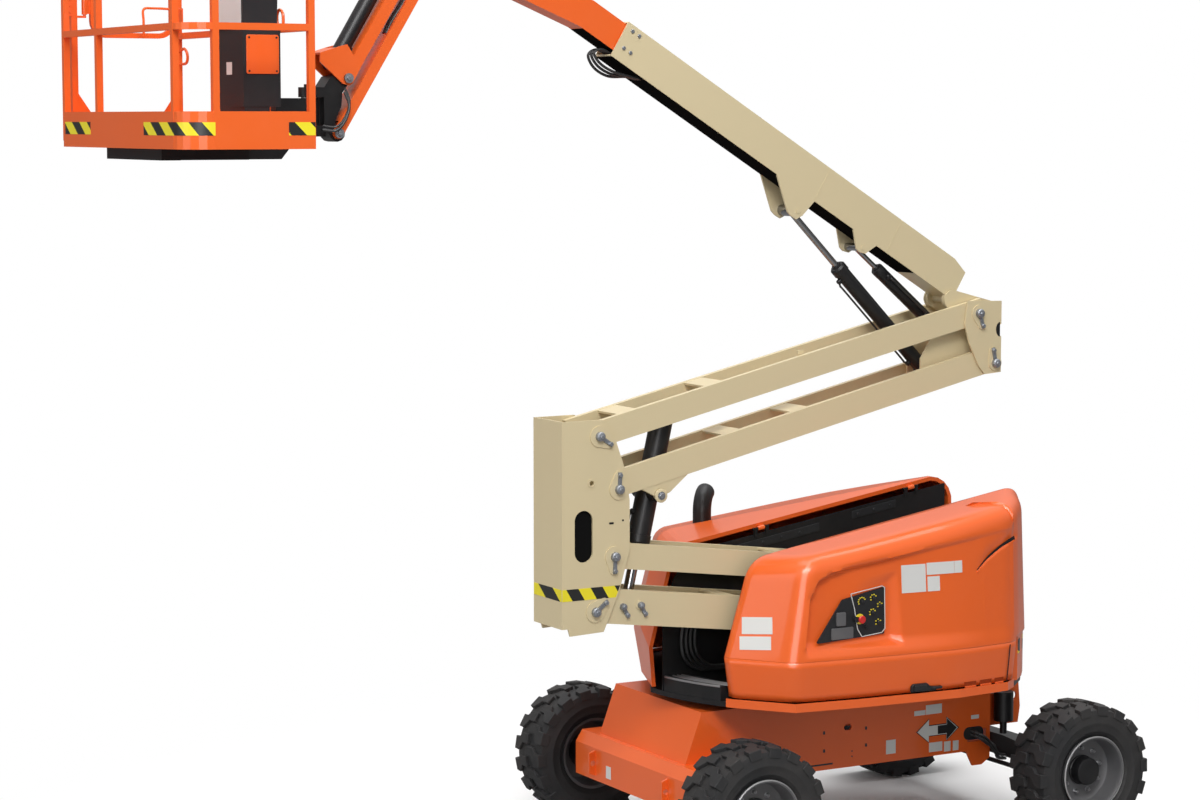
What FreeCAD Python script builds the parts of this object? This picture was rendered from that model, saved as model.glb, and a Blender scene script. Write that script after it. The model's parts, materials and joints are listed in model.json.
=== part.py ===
"""Articulating boom lift with a telescopic main boom, a jib and a work platform.

Millimetres, +Z up.  The origin lies on the ground under the slew axis.  +X runs to the steered
axle, the platform hangs out towards -X, and the ground controls are on the -Y side.  The tower,
boom and platform share one centre plane at y = BOOM_Y, parallel to XZ.
"""
import FreeCAD
import Part
import math
import os

V = FreeCAD.Vector

# ---------------------------------------------------------------- driving dimensions
GAP = 5.0                       # least clearance between moving pieces
WHEELBASE = 2340.0
AXLE_X = WHEELBASE / 2
TYRE_R = 415.5
TYRE_W = 316.0
TRACK_HALF = 975.0              # wheel centre plane from the middle
RIM_R = 222.0
FRAME_HALF = 500.0              # half width over the side plates
FRAME_TOP = 917.0
FRAME_BOTTOM = 483.0
DECK_Z = 962.0                  # underside of the turntable deck
DECK_T = 30.0
FRONT_R = 1280.0                # turntable front edge radius about the slew axis
TAIL_R = 1170.0                 # tail radius, inside the wheels' width
BOOM_Y = -370.0
PLATE_OUT = 167.0               # outer face of the upright and riser plates, from BOOM_Y
PLATE_T = 12.0
ARM_OUT = PLATE_OUT - PLATE_T - GAP
ARM_IN = 114.0                  # inner face of the paired arm beams
BOOM_HALF = 92.0
EAR_IN = BOOM_HALF + GAP
EAR_T = 12.0
PIN_R = 24.0
KEEPER_AWAY = 72.0              # keeper bolt from the pin that it holds

# tower pins, (x, z): the upright carries A, B (upper arms) and C, D (lower arms)
PIN_A = (-1913.0, 2563.0)
PIN_B = (-1788.0, 2258.0)
PIN_C = (-1815.0, 1877.0)
PIN_D = (-1939.0, 1572.0)
LOWER_LEN, LOWER_DEG = 2535.0, 7.3
UPPER_LEN, UPPER_DEG = 2689.0, 12.98
BOOM_PIVOT = (555.0, 3250.0)
BOOM_DEG = 31.3                 # main boom above the horizontal, rising to -X
JIB_DEG = 58.2                  # jib below the horizontal, falling to -X
JIB_LEN = 1240.0
HEAD_TOP_PIN = (-3393.0, 4546.0)
HEAD_LOW_PIN = (-3450.0, 4255.0)
NOSE_PIN = (-2560.0, 5161.0)
NOSE_DEG = 21.9                 # the fly's nose is bent flatter than the boom

# platform, outer faces
PLAT_X0, PLAT_X1 = -4642.0, -3950.0
PLAT_HALF = 915.0
PLAT_CORNER_R = 160.0
PLAT_FAR_R = 60.0
PLAT_Y0, PLAT_Y1 = BOOM_Y - PLAT_HALF, BOOM_Y + PLAT_HALF
RAIL_R = 17.0
FLOOR_Z = 4215.0
TOE_Z0, TOE_Z1 = 4182.0, 4368.0
MID_RAIL_Z = 4782.0
TOP_RAIL_Z = 5315.0
ROTATOR_X = -3585.0
GATE_X = PLAT_X0 + 140.0        # gate hinge axis
GATE_PIN_R = 8.0
GATE_TUBE_R = 14.0
HINGE_Z = (4935.0, 5195.0)      # gate hinges
CONSOLE_DEPTH = 202.0


def arm_end(pin, length, degrees):
    a = math.radians(degrees)
    return (pin[0] + length * math.cos(a), pin[1] + length * math.sin(a))


PIN_C2 = arm_end(PIN_C, LOWER_LEN, -LOWER_DEG)
PIN_D2 = arm_end(PIN_D, LOWER_LEN, -LOWER_DEG)
PIN_K1 = arm_end(PIN_A, UPPER_LEN, UPPER_DEG)
PIN_K2 = arm_end(PIN_B, UPPER_LEN, UPPER_DEG)
JIB_TOP_PIN = arm_end(HEAD_TOP_PIN, JIB_LEN, JIB_DEG)
JIB_LOW_PIN = arm_end(HEAD_LOW_PIN, JIB_LEN, JIB_DEG)

# cylinder pins: (barrel pin, rod eye)
TOWER_CYL = ((-1504.0, 2202.0), (-1644.0, 1586.0))
LIFT_CYL = ((430.0, 2822.0), (-545.0, 3800.0))
MASTER_CYL = ((500.0, 3088.0), (-84.0, 3576.0))


# ---------------------------------------------------------------- helpers
def box(x0, x1, y0, y1, z0, z1):
    return Part.makeBox(x1 - x0, y1 - y0, z1 - z0, V(x0, y0, z0))


def wire(points):
    return Part.makePolygon([V(*p) for p in points] + [V(*points[0])])


def prism_y(points, y0, y1):
    """Outline in the XZ plane, extruded from y0 to y1."""
    face = Part.Face(wire([(x, y0, z) for x, z in points]))
    return face.extrude(V(0, y1 - y0, 0))


def prism_z(points, z0, z1):
    face = Part.Face(wire([(x, y, z0) for x, y in points]))
    return face.extrude(V(0, 0, z1 - z0))


def prism_x(points, x0, x1):
    face = Part.Face(wire([(x0, y, z) for y, z in points]))
    return face.extrude(V(x1 - x0, 0, 0))


def rod(a, b, r):
    a, b = V(*a), V(*b)
    return Part.makeCylinder(r, (b - a).Length, a, b - a)


def rod_y(x, z, y0, y1, r):
    return Part.makeCylinder(r, y1 - y0, V(x, y0, z), V(0, 1, 0))


def rod_z(x, y, z0, z1, r):
    return Part.makeCylinder(r, z1 - z0, V(x, y, z0), V(0, 0, 1))


def join(shapes):
    shapes = list(shapes)
    first = shapes[0]
    if len(shapes) == 1:
        return first
    return first.fuse(shapes[1:]).removeSplitter()


def mirror_boom(shape):
    """Copy of a piece on the other side of the boom plane."""
    return shape.mirror(V(0, BOOM_Y, 0), V(0, 1, 0))


def on_boom(offset):
    return BOOM_Y + offset


def save(node, shape):
    solids = shape.Solids
    shape = solids[0] if len(solids) == 1 else Part.makeCompound(solids)
    if not shape.isValid():
        print("INVALID", node)
    shape.exportStep("parts/%s.step" % node)
    print("%-26s solids %d  volume %.4f m3" % (node, len(solids), shape.Volume / 1e9))


class Line:
    """A straight member in the XZ plane: s runs along it, n across it (left of s)."""

    def __init__(self, start, degrees, to_minus_x=False):
        a = math.radians(degrees)
        side = -1.0 if to_minus_x else 1.0
        self.o = start
        self.u = (side * math.cos(a), math.sin(a))
        self.n = (-self.u[1], self.u[0]) if not to_minus_x else (self.u[1], -self.u[0])

    def at(self, s, n):
        return (self.o[0] + s * self.u[0] + n * self.n[0], self.o[1] + s * self.u[1] + n * self.n[1])

    def outline(self, points):
        return [self.at(s, n) for s, n in points]

    def bar(self, s0, s1, n0, n1, y0, y1):
        return prism_y(self.outline([(s0, n0), (s1, n0), (s1, n1), (s0, n1)]), y0, y1)


def tangent_hull(circles, steps=10):
    """Convex outline around circles (x, z, r), as a list of points on the circles."""
    cloud = []
    for x, z, r in circles:
        count = 4 * steps
        for i in range(count):
            a = 2 * math.pi * i / count
            cloud.append((x + r * math.cos(a), z + r * math.sin(a)))
    cloud = sorted(set(cloud))

    def half(points):
        chain = []
        for p in points:
            while len(chain) > 1:
                ax, az = chain[-1][0] - chain[-2][0], chain[-1][1] - chain[-2][1]
                bx, bz = p[0] - chain[-2][0], p[1] - chain[-2][1]
                if ax * bz - az * bx > 0:
                    break
                chain.pop()
            chain.append(p)
        return chain[:-1]

    return half(cloud) + half(cloud[::-1])


class Planes:
    """Convex body: the room behind a set of planes, each a point and an outward normal."""

    BLOCK = 6000.0                  # half size of the block that the planes cut down

    def __init__(self, inside):
        self.inside = inside
        self.faces = {}
        self.rounds = []
        self.fixed = set()

    def face(self, name, a, b, c):
        n = (b - a).cross(c - a)
        n.normalize()
        if n.dot(self.inside - a) > 0:
            n = n * -1.0
        self.faces[name] = (a, n)

    def keep(self, *names):
        """Faces that an inset moves out by a little, so that a shell is open there."""
        self.fixed.update(names)

    def edge(self, first, second, radius, steps):
        self.rounds.append((first, second, radius, steps))

    def solid(self, inset=0.0):
        """The body with its planes moved in by inset and the chosen edges rounded by flats."""
        cuts = []
        for name, (p, n) in self.faces.items():
            move = -1.0 if inset and name in self.fixed else inset
            cuts.append((p - n * move, n))
        for first, second, radius, steps in self.rounds:
            (p1, n1), (p2, n2) = self.faces[first], self.faces[second]
            r = radius - inset
            d1, d2 = n1.dot(p1) - inset, n2.dot(p2) - inset
            m = n1.dot(n2)
            k1, k2 = (d1 - d2 * m) / (1 - m * m), (d2 - d1 * m) / (1 - m * m)
            centre = n1 * k1 + n2 * k2 - (n1 + n2) * (r / (1 + m))
            angle = math.acos(m)
            for i in range(1, steps + 1):
                t = angle * i / (steps + 1)
                n = n1 * (math.sin(angle - t) / math.sin(angle)) + n2 * (math.sin(t) / math.sin(angle))
                cuts.append((centre + n * r, n))
        size = self.BLOCK
        body = Part.makeBox(2 * size, 2 * size, 2 * size, V(-size, -size, -size))
        for p, n in cuts:
            slab = Part.makeBox(4 * size, 4 * size, 2 * size, V(-2 * size, -2 * size, 0))
            slab.Placement = FreeCAD.Placement(p, FreeCAD.Rotation(V(0, 0, 1), n))
            body = body.cut(slab)
        return body.removeSplitter()


# ---------------------------------------------------------------- wheels
def tyre(x, y):
    """Tyre revolved about Y, then two rows of slanted lugs."""
    half = TYRE_W / 2
    r_in = RIM_R - 4
    carcass_r = TYRE_R - 26
    section = [(-half + 30, r_in), (-half, r_in + 60), (-half, carcass_r - 55), (-half + 42, carcass_r),
               (half - 42, carcass_r), (half, carcass_r - 55), (half, r_in + 60), (half - 30, r_in)]
    face = Part.Face(wire([(r, w, 0) for w, r in section]))
    body = face.revolve(V(0, 0, 0), V(0, 1, 0), 360)
    lugs = []
    count = 18
    reach = TYRE_R - 6
    for side in (-1, 1):
        lug_face = Part.Face(wire([(carcass_r - 20, 0.06 * half * side, -24),
                                   (carcass_r - 20, half * side, -38),
                                   (carcass_r - 20, half * side, 26),
                                   (carcass_r - 20, 0.06 * half * side, 16)]))
        lug = lug_face.extrude(V(reach - carcass_r + 20, 0, 0))
        for i in range(count):
            turned = lug.copy()
            turned.rotate(V(0, 0, 0), V(0, 1, 0), 360.0 / count * (i + (0.5 if side > 0 else 0.0)))
            lugs.append(turned)
    shell = Part.makeCylinder(TYRE_R, TYRE_W, V(0, -half, 0), V(0, 1, 0))
    cone_cut = shell.common(body.fuse(lugs))
    cone_cut.translate(V(x, y, TYRE_R))
    return cone_cut


def rim(x, y, outward, steered):
    """Deep dish rim; outward is the sign of the side that faces away from the machine."""
    half = TYRE_W / 2
    section = [(-half + 26, RIM_R - 5), (half - 26, RIM_R - 5), (half - 10, RIM_R + 6),
               (half - 4, RIM_R - 2),
               (half - 14, RIM_R - 16), (30, RIM_R - 26), (18, 150), (8, 60), (-4, 60), (-2, 150),
               (-10, RIM_R - 30), (-half + 30, RIM_R - 16)]
    points = [(r, w * outward, 0) for w, r in section]
    dish = Part.Face(wire(points)).revolve(V(0, 0, 0), V(0, 1, 0), 360)
    hub_out = 96.0 if steered else 40.0
    hub_r = 74.0 if steered else 84.0
    a, b = sorted((-21.7 * outward, hub_out * outward))
    hub = rod_y(0, 0, a, b, hub_r)
    flange_a, flange_b = sorted((0.0, 26.0 * outward))
    flange = rod_y(0, 0, flange_a, flange_b, 112)
    whole = join([dish, flange, hub])
    whole.translate(V(x, y, TYRE_R))
    return whole


def wheels():
    for end, x in (("drive", -AXLE_X), ("steer", AXLE_X)):
        for side, sign in (("near", -1), ("far", 1)):
            y = sign * TRACK_HALF
            save("tyre_%s_%s" % (end, side), tyre(x, y))
            save("rim_%s_%s" % (end, side), rim(x, y, sign, end == "steer"))


# ---------------------------------------------------------------- chassis
BEAM_X0 = -AXLE_X - 230.0
BEAM_X1 = -AXLE_X + 210.0
BEAM_HALF = 665.0
FRAME_X1 = AXLE_X - 310.0       # steer end of the side plates
FRAME_X0 = -AXLE_X - 43.0       # drive end, at the top
AXLE_BEAM_HALF = 55.0           # half width of the steer axle beam along x
PIVOT_R = 60.0
PIVOT_X0 = AXLE_X - 115.0       # the steer axle rocks on a stub in the frame's pivot box
KNUCKLE_Y = 700.0               # king pin axis from the middle
HUB_INNER = TRACK_HALF - 22.0   # where hub faces meet the rims
SEAT = 0.3                      # running clearance at pins and seats
AXLE_PIVOT_Z = 440.0


def chassis_frame():
    top, bottom, end = FRAME_TOP, FRAME_BOTTOM, FRAME_X1
    side = [(-1000, bottom + 70), (-700, bottom), (end, bottom), (end, top), (FRAME_X0, top),
            (FRAME_X0 - 122, 590), (-1000, 590)]
    core = prism_y(side, -FRAME_HALF, FRAME_HALF)
    hollow = prism_y([(-1000, 400), (end - 14, 400), (end - 14, top - 20), (FRAME_X0 + 33, top - 20),
                      (FRAME_X0 - 57, 640), (-1000, 640)], -FRAME_HALF + 14, FRAME_HALF - 14)
    shell = core.cut(hollow)
    oval = join([rod_y(x, 726, -FRAME_HALF - 1, -FRAME_HALF + 20, 20) for x in (-200, -185)])
    hose_port = box(end - 170, end - 30, -FRAME_HALF - 1, -FRAME_HALF + 20, 540, 612)
    shell = shell.cut(oval).cut(hose_port)
    hanger = prism_y([(end - 180, bottom + 5), (end, bottom + 5), (end, 430), (end - 60, 390),
                      (end - 130, 390)],
                     -FRAME_HALF, -FRAME_HALF + 14)
    front = box(end - 20, AXLE_X - AXLE_BEAM_HALF - 55, -400, 400, 600, 800)
    beam = prism_y([(BEAM_X0, 355), (BEAM_X1, 355), (BEAM_X1, 620), (BEAM_X0 + 45, 620), (BEAM_X0, 552)],
                   -BEAM_HALF, BEAM_HALF)
    lugs = []
    for sign in (-1, 1):
        plate = prism_y([(BEAM_X0 - 42, 400), (BEAM_X0 + 6, 380), (BEAM_X0 + 6, 540), (BEAM_X0 - 42, 520)],
                        -8, 8)
        plate = plate.cut(rod_y(BEAM_X0 - 18, 460, -9, 9, 17))
        plate.translate(V(0, sign * 430, 0))
        lugs.append(plate)
        x = AXLE_X
        lock = prism_y([(x - 120, 600), (x - 20, 600), (x - 5, 700), (x - 20, 870), (x - 120, 870)], -8, 8)
        lock = lock.cut(rod_y(x - 60, 770, -9, 9, 28))
        lock.translate(V(0, sign * 392, 0))
        lugs.append(lock)
    pivot = box(PIVOT_X0 - 15, AXLE_X - AXLE_BEAM_HALF - GAP, -90, 90, AXLE_PIVOT_Z - PIVOT_R - 30, 700)
    bore = Part.makeCylinder(PIVOT_R + SEAT, 200, V(PIVOT_X0, 0, AXLE_PIVOT_Z), V(1, 0, 0))
    return join([shell, hanger, front, beam, pivot] + lugs).cut(bore)


def drive_hubs():
    hubs = []
    for sign in (-1, 1):
        a, b = sorted((sign * (BEAM_HALF + 0.0), sign * HUB_INNER))
        hubs.append(rod_y(-AXLE_X, TYRE_R, a, b, 118))
    return Part.makeCompound(hubs)


def steer_axle():
    half = AXLE_BEAM_HALF
    beam = prism_x([(-620, 370), (620, 370), (620, 470), (300, 500), (-300, 500), (-620, 470)],
                   AXLE_X - half, AXLE_X + half)
    yokes = []
    for sign in (-1, 1):
        for z0, z1 in ((300, 345), (486, 531)):
            a, b = sorted((sign * 600.0, sign * (KNUCKLE_Y + 45)))
            yokes.append(box(AXLE_X - 50, AXLE_X + 50, a, b, z0, z1))
        a, b = sorted((sign * 590.0, sign * 625.0))
        yokes.append(box(AXLE_X - 50, AXLE_X + 50, a, b, 300, 531))
        yokes.append(rod_z(AXLE_X, sign * KNUCKLE_Y, 290, 541, 20))
    pivot = Part.makeCylinder(PIVOT_R, 90, V(PIVOT_X0 + SEAT, 0, AXLE_PIVOT_Z), V(1, 0, 0))
    return join([beam, pivot] + yokes)


def steer_knuckle(sign):
    a, b = sorted((sign * (KNUCKLE_Y - 38), sign * HUB_INNER))
    spindle = rod_y(AXLE_X, TYRE_R, a, b, 62)
    block = box(AXLE_X - 46, AXLE_X + 46, *sorted((sign * (KNUCKLE_Y - 42), sign * (KNUCKLE_Y + 60))), 350,
                481)
    arm = box(AXLE_X - 170, AXLE_X - 30, *sorted((sign * (KNUCKLE_Y - 20), sign * (KNUCKLE_Y + 20))), 385,
              415)
    body = join([spindle, block, arm])
    return body.cut(rod_z(AXLE_X, sign * KNUCKLE_Y, 200, 600, 20 + SEAT))


def tie_rod():
    """Track rod under the knuckle arms; its ball housings sit just below them."""
    x = AXLE_X - 150
    bar = rod_y(x, 360, -KNUCKLE_Y + 8, KNUCKLE_Y - 8, 14)
    housings = [rod_z(x, s * KNUCKLE_Y, 340, 385 - SEAT, 22) for s in (-1, 1)]
    return join([bar] + housings)


def lockout_cylinders():
    parts = []
    for sign in (-1, 1):
        y = sign * 470
        x = AXLE_X - 185
        parts.append(join([rod_z(x, y, 640, 822, 60), rod_z(x, y, 560, 660, 22),
                           box(x - 10, x + 71, *sorted((sign * 400, sign * 440)), 690, 790)]))
    return Part.makeCompound(parts)


def swing_bearing():
    return rod_z(0, 0, FRAME_TOP, DECK_Z, 470).cut(rod_z(0, 0, FRAME_TOP - 1, DECK_Z + 1, 330))


def chassis():
    save("chassis_frame", chassis_frame())
    save("drive_hubs", drive_hubs())
    save("steer_axle", steer_axle())
    save("lockout_cylinders", lockout_cylinders())
    save("swing_bearing", swing_bearing())
    save("steer_knuckle_near", steer_knuckle(-1))
    save("steer_knuckle_far", steer_knuckle(1))
    save("tie_rod", tie_rod())


# ---------------------------------------------------------------- turntable
WELL_Y0 = -600.0                # inner wall of the near hood
WELL_Y1 = -140.0                # inner wall of the far hood
HOOD_Z0 = 1018.0
CW_TOP = 1262.0
CW_X0 = 690.0
WALL_IN = 6.0                   # well wall behind the hood edge
HINGE_IN = 10.0
HINGE_DROP = 30.0
HINGE_R = 7.0
HINGE_STATIONS = (-600.0, 500.0)
WALL_T = 8.0
HOOD_T = 24.0                   # hood shell with its frame
PANEL_SINK = 10.0
CONTROLS_Y = -962.0             # bottom of the controls' pocket
CONTROLS = [(-745, 1345), (-562, 1594), (-257, 1651), (-261, 1365)]
EXHAUST_XY = (-727.0, 300.0)
EXHAUST_R = 48.0
EXHAUST_BEND = 62.0             # radius of the elbow's centre line
# roof lines along the hoods' inner edges, (x, z) at both ends
NEAR_ROOF = [(-905.0, 1815.0), (850.0, 2100.0)]
FAR_ROOF = [(-1125.0, 1854.0), (740.0, 2152.0)]
# plan corners of the hoods, (x, |y|): at the sill, at the waist crease and at PLAN_TOP
WAIST_Z = 1250.0
PLAN_TOP = 2250.0
NEAR_PLAN = {HOOD_Z0: [(-1091, 600), (-1091, 660), (-866, 945), (-458, 1000), (217, 1048), (590, 1012),
                       (700, 960), (870, 800),
                       (1000, 600)],
             WAIST_Z: [(-1126, 600), (-1126, 645), (-887, 976), (-458, 1030), (217, 1078), (600, 1040),
                       (710, 965), (885, 800),
                       (1030, 600)],
             PLAN_TOP: [(-820, 600), (-820, 640), (-735, 900), (-458, 965), (217, 1010), (600, 990),
                        (690, 945), (840, 800),
                        (965, 600)]}
FAR_PLAN = {HOOD_Z0: [(-1335, -140), (-1150, 300), (-775, 940), (-458, 1000), (217, 1048), (590, 1012),
                      (700, 940),
                      (820, 500), (832, -140)],
            WAIST_Z: [(-1356, -140), (-1205, 300), (-815, 960), (-458, 1030), (217, 1078), (600, 1040),
                      (710, 945),
                      (830, 500), (842, -140)],
            PLAN_TOP: [(-1085, -140), (-930, 290), (-640, 880), (-400, 965), (217, 1010), (600, 990),
                       (690, 930),
                       (790, 500), (800, -140)]}
CROWN = [(-1100.0, 300.0), (740.0, -140.0)]     # plan line where the far roof starts to fall away
CROWN_FALL = 0.2


def arc(radius, a0, a1, count):
    return [(radius * math.cos(math.radians(a0 + (a1 - a0) * i / count)),
             radius * math.sin(math.radians(a0 + (a1 - a0) * i / count))) for i in range(count + 1)]


def deck_outline(grow=0.0):
    """Deck edge in plan: the hoods' sills at the sides, arcs in front and behind."""
    near = [(x, -y - 7 - grow) for x, y in NEAR_PLAN[HOOD_Z0][1:6]]
    far = [(x, y + 7 + grow) for x, y in FAR_PLAN[HOOD_Z0][3:6]]
    front = [(-740 - grow, 930 + grow), (-1100 - grow, 290 + grow)] + arc(FRONT_R + grow, 181.5, 211, 6)
    return near + arc(TAIL_R + grow, -52, 52, 12) + far[::-1] + front[:-1]


def turntable_deck():
    plate = prism_z(deck_outline(), DECK_Z, DECK_Z + DECK_T)
    step = prism_z(arc(FRONT_R - 4, 184, 210, 6) + [(-1010, WELL_Y0), (-1110, WELL_Y1)], DECK_Z + DECK_T,
                   1075)
    between = box(-1500, 0, WELL_Y0 + WALL_IN + WALL_T + GAP, WELL_Y1 - WALL_IN - WALL_T - GAP, DECK_Z,
                  1100)
    return join([plate, step.common(between)])


def turntable_skirt():
    """Painted lip round the deck, under the doors."""
    outer = prism_z(deck_outline(7.0), DECK_Z, HOOD_Z0 - 6)
    inner = prism_z(deck_outline(SEAT), DECK_Z - 1, HOOD_Z0)
    ring = outer.cut(inner)
    mouth = box(-1500, -1000, WELL_Y0 - 20, 600, DECK_Z - 2, HOOD_Z0)
    tail = box(CW_X0 - 2, TAIL_R + 200, -TAIL_R, TAIL_R, DECK_Z - 2, HOOD_Z0)
    return ring.cut(mouth).cut(tail)


def counterweight():
    outline = [(CW_X0, -925)] + arc(TAIL_R + 8, -51, 51, 14) + [(CW_X0, 925)]
    return prism_z(outline, DECK_Z + DECK_T, CW_TOP)


def link_tower():
    """Twin plates on the deck that carry the lower arms' pins."""
    back = CW_X0 - 4
    (cx, cz), (dx, dz) = PIN_C2, PIN_D2
    foot = [(dx - 250, DECK_Z + DECK_T), (back, DECK_Z + DECK_T), (back, CW_TOP + 38)]
    plate = prism_y(foot + [(cx + 100, cz - 55), (cx + 100, cz + 45), (cx + 60, cz + 95),
                            (cx - 50, cz + 95),
                            (dx - 56, dz + 90), (dx - 96, dz + 40)], on_boom(-PLATE_OUT),
                    on_boom(-ARM_OUT - GAP))
    web = box(back - 36, back - 20, on_boom(-PLATE_OUT), on_boom(PLATE_OUT), DECK_Z + DECK_T, dz - 140)
    pins = [rod_y(x, z, on_boom(-PLATE_OUT - 14), on_boom(PLATE_OUT + 14), PIN_R)
            for x, z in (PIN_C2, PIN_D2)]
    return join([plate, mirror_boom(plate), web] + pins)


def engine_block():
    return box(-650, 420, 120, 700, DECK_Z + DECK_T, 1540)


def fuel_tank():
    return box(-560, 480, -900, WELL_Y0 - 80, DECK_Z + DECK_T, 1300)


def roof_z(roof, x):
    """Height of a hood's roof line over x."""
    (x0, z0), (x1, z1) = roof
    return z0 + (z1 - z0) * (x - x0) / (x1 - x0)


def hinge_frame(sign):
    """Point and direction of a hood's hinge line, along its inner top edge."""
    roof = NEAR_ROOF if sign < 0 else FAR_ROOF
    y = WELL_Y0 if sign < 0 else WELL_Y1
    (x0, z0), (x1, z1) = roof
    slope = (z1 - z0) / (x1 - x0)
    scale = 1 / math.hypot(1, slope)
    u = V(scale, 0, slope * scale)
    return V(0, y - sign * HINGE_IN, roof_z(roof, 0.0) - HINGE_DROP), u


def hinge_pins(sign):
    """Hinge pins that the well wall carries on tabs."""
    point, u = hinge_frame(sign)
    out = []
    for t in HINGE_STATIONS:
        a = point + u * (t - 55)
        pin = Part.makeCylinder(HINGE_R, 110, a, u)
        tabs = []
        for k in (-50, 30):
            c = point + u * (t + k)
            tabs.append(prism_y([(c.x, c.z - 46), (c.x + 20, c.z - 46), (c.x + 20, c.z + 9),
                                 (c.x, c.z + 9)],
                                min(c.y, c.y - sign * 10) - 4, max(c.y, c.y - sign * 10) + 4))
        out.append(join([pin] + tabs))
    return out


def hinge_tubes(sign):
    """Knuckle tubes under a hood's roof edge, round the hinge pins."""
    point, u = hinge_frame(sign)
    out = []
    for t in HINGE_STATIONS:
        a = point + u * (t - 22)
        tube = Part.makeCylinder(HINGE_R + 7, 44, a, u)
        arm_y0, arm_y1 = sorted((point.y, point.y + sign * 40))
        c = point + u * t
        arm = box(c.x - 20, c.x + 20, arm_y0, arm_y1, c.z + 2, c.z + HINGE_DROP - 12)
        out.append((join([tube, arm]), Part.makeCylinder(HINGE_R + SEAT, 60, point + u * (t - 30), u)))
    return out


def well_walls():
    """Black inner walls on both sides of the boom well, with the hoods' hinge pins."""
    pieces = []
    for sign, roof, y in ((-1, NEAR_ROOF, WELL_Y0), (1, FAR_ROOF, WELL_Y1)):
        drop = 60.0
        x0, x1 = roof[0][0] + 45, roof[1][0] + 10
        front = [(x0 - 135, 1300)] if sign < 0 else [(x0 - 120, 1640), (x0 - 190, 1400)]
        outline = [(front[-1][0], DECK_Z + DECK_T), (CW_X0 - 6, DECK_Z + DECK_T), (CW_X0 - 6, CW_TOP + 6),
                   (x1, CW_TOP + 6), (x1, roof_z(roof, x1) - drop), (x0, roof_z(roof, x0) - drop)] + front
        y0, y1 = sorted((y - sign * WALL_IN, y - sign * (WALL_IN + WALL_T)))
        wall = prism_y(outline, y0, y1)
        pieces.append(join([wall] + hinge_pins(sign)))
    return Part.makeCompound(pieces)


def exhaust_stack():
    """Upright pipe whose mouth bends over towards the tail."""
    x, y = EXHAUST_XY
    z = 2035.0
    pipe = rod_z(x, y, 1860, z, EXHAUST_R)
    mouth = Part.Face(Part.Wire(Part.makeCircle(EXHAUST_R, V(x, y, z), V(0, 0, 1))))
    elbow = mouth.revolve(V(x + EXHAUST_BEND, y, z), V(0, 1, 0), 65)
    return join([pipe, elbow])


def turntable():
    save("turntable_deck", turntable_deck())
    save("turntable_skirt", turntable_skirt())
    save("counterweight", counterweight())
    save("link_tower", link_tower())
    save("engine_block", engine_block())
    save("fuel_tank", fuel_tank())
    save("well_walls", well_walls())
    save("exhaust_stack", exhaust_stack())


def hood_body(sign):
    """Closed block of a hood: leaning facets below and above the waist, roof and rounded edges."""
    plan, roof, inner_y = (NEAR_PLAN, NEAR_ROOF, WELL_Y0) if sign < 0 else (FAR_PLAN, FAR_ROOF, WELL_Y1)
    body = Planes(V(0, sign * 700, 1400))
    sill, waist, top = ([V(x, sign * y, z) for x, y in plan[z]] for z in (HOOD_Z0, WAIST_Z, PLAN_TOP))
    count = len(sill) - 1
    for i in range(count):
        body.face("low%d" % i, sill[i], sill[i + 1], waist[i])
        body.face("high%d" % i, waist[i], waist[i + 1], top[i])
    (xa, za), (xb, zb) = roof
    body.face("roof", V(xa, 0, za), V(xb, 0, zb), V(xa, 100, za))
    body.face("inner", V(0, inner_y, 0), V(100, inner_y, 0), V(0, inner_y, 100))
    body.face("bottom", V(0, 0, HOOD_Z0), V(100, 0, HOOD_Z0), V(0, 100, HOOD_Z0))
    body.keep("inner", "bottom")
    corner = 1 if sign < 0 else 0       # facet in front of the hood's front corner
    body.edge("low%d" % corner, "low%d" % (corner + 1), 70, 3)
    body.edge("high%d" % corner, "high%d" % (corner + 1), 70, 3)
    for i in range(corner + 1):
        body.edge("roof", "high%d" % i, 150, 4)
    outer = "roof"
    if sign > 0:
        (ca, cb), y_far = CROWN, 1000.0
        on_crown = ca[0] + (cb[0] - ca[0]) * 0.5, ca[1] + (cb[1] - ca[1]) * 0.5
        z_far = roof_z(roof, on_crown[0]) - CROWN_FALL * (y_far - on_crown[1])
        body.face("fall", V(ca[0], ca[1], roof_z(roof, ca[0])), V(cb[0], cb[1], roof_z(roof, cb[0])),
                  V(on_crown[0], y_far, z_far))
        body.edge("fall", "high0", 150, 3)
        outer = "fall"
    for i in range(corner + 1, count):
        body.edge(outer, "high%d" % i, 110, 3)
    body.edge("roof", "high%d" % (count - 1), 160, 4)
    return body


def near_recess(body):
    """Sunk side panel and the tapered pocket of the ground controls, with its liner."""
    frame_line = [(-812, 1300), (-745, 1670), (-690, 1740), (-590, 1778), (560, 1945), (600, 1900),
                  (600, 1300)]
    panel = prism_y(frame_line, -1300, -800).cut(body.solid(PANEL_SINK))
    mouth = wire([(x, -1075, z) for x, z in ((-790, 1322), (-646, 1672), (-196, 1746), (-158, 1314))])
    floor = wire([(x, CONTROLS_Y, z) for x, z in CONTROLS])
    pocket = Part.makeLoft([mouth, floor], True, True)
    liner = prism_y([(-805, 1300), (-650, 1690), (-180, 1765), (-150, 1300)], CONTROLS_Y - 70,
                    CONTROLS_Y + 10)
    return panel, pocket, liner.common(body.solid())


def hood(sign):
    body = hood_body(sign)
    shell = body.solid().cut(body.solid(HOOD_T))
    if sign < 0:
        panel, pocket, liner = near_recess(body)
        shell = join([shell, liner]).cut(panel).cut(pocket)
    low_gap = box(CW_X0 - 12, 1400, -1300, 1300, 900, CW_TOP + 8)
    tubes = hinge_tubes(sign)
    whole = join([shell.cut(low_gap)] + [tube for tube, bore in tubes])
    for tube, bore in tubes:
        whole = whole.cut(bore)
    return whole


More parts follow.
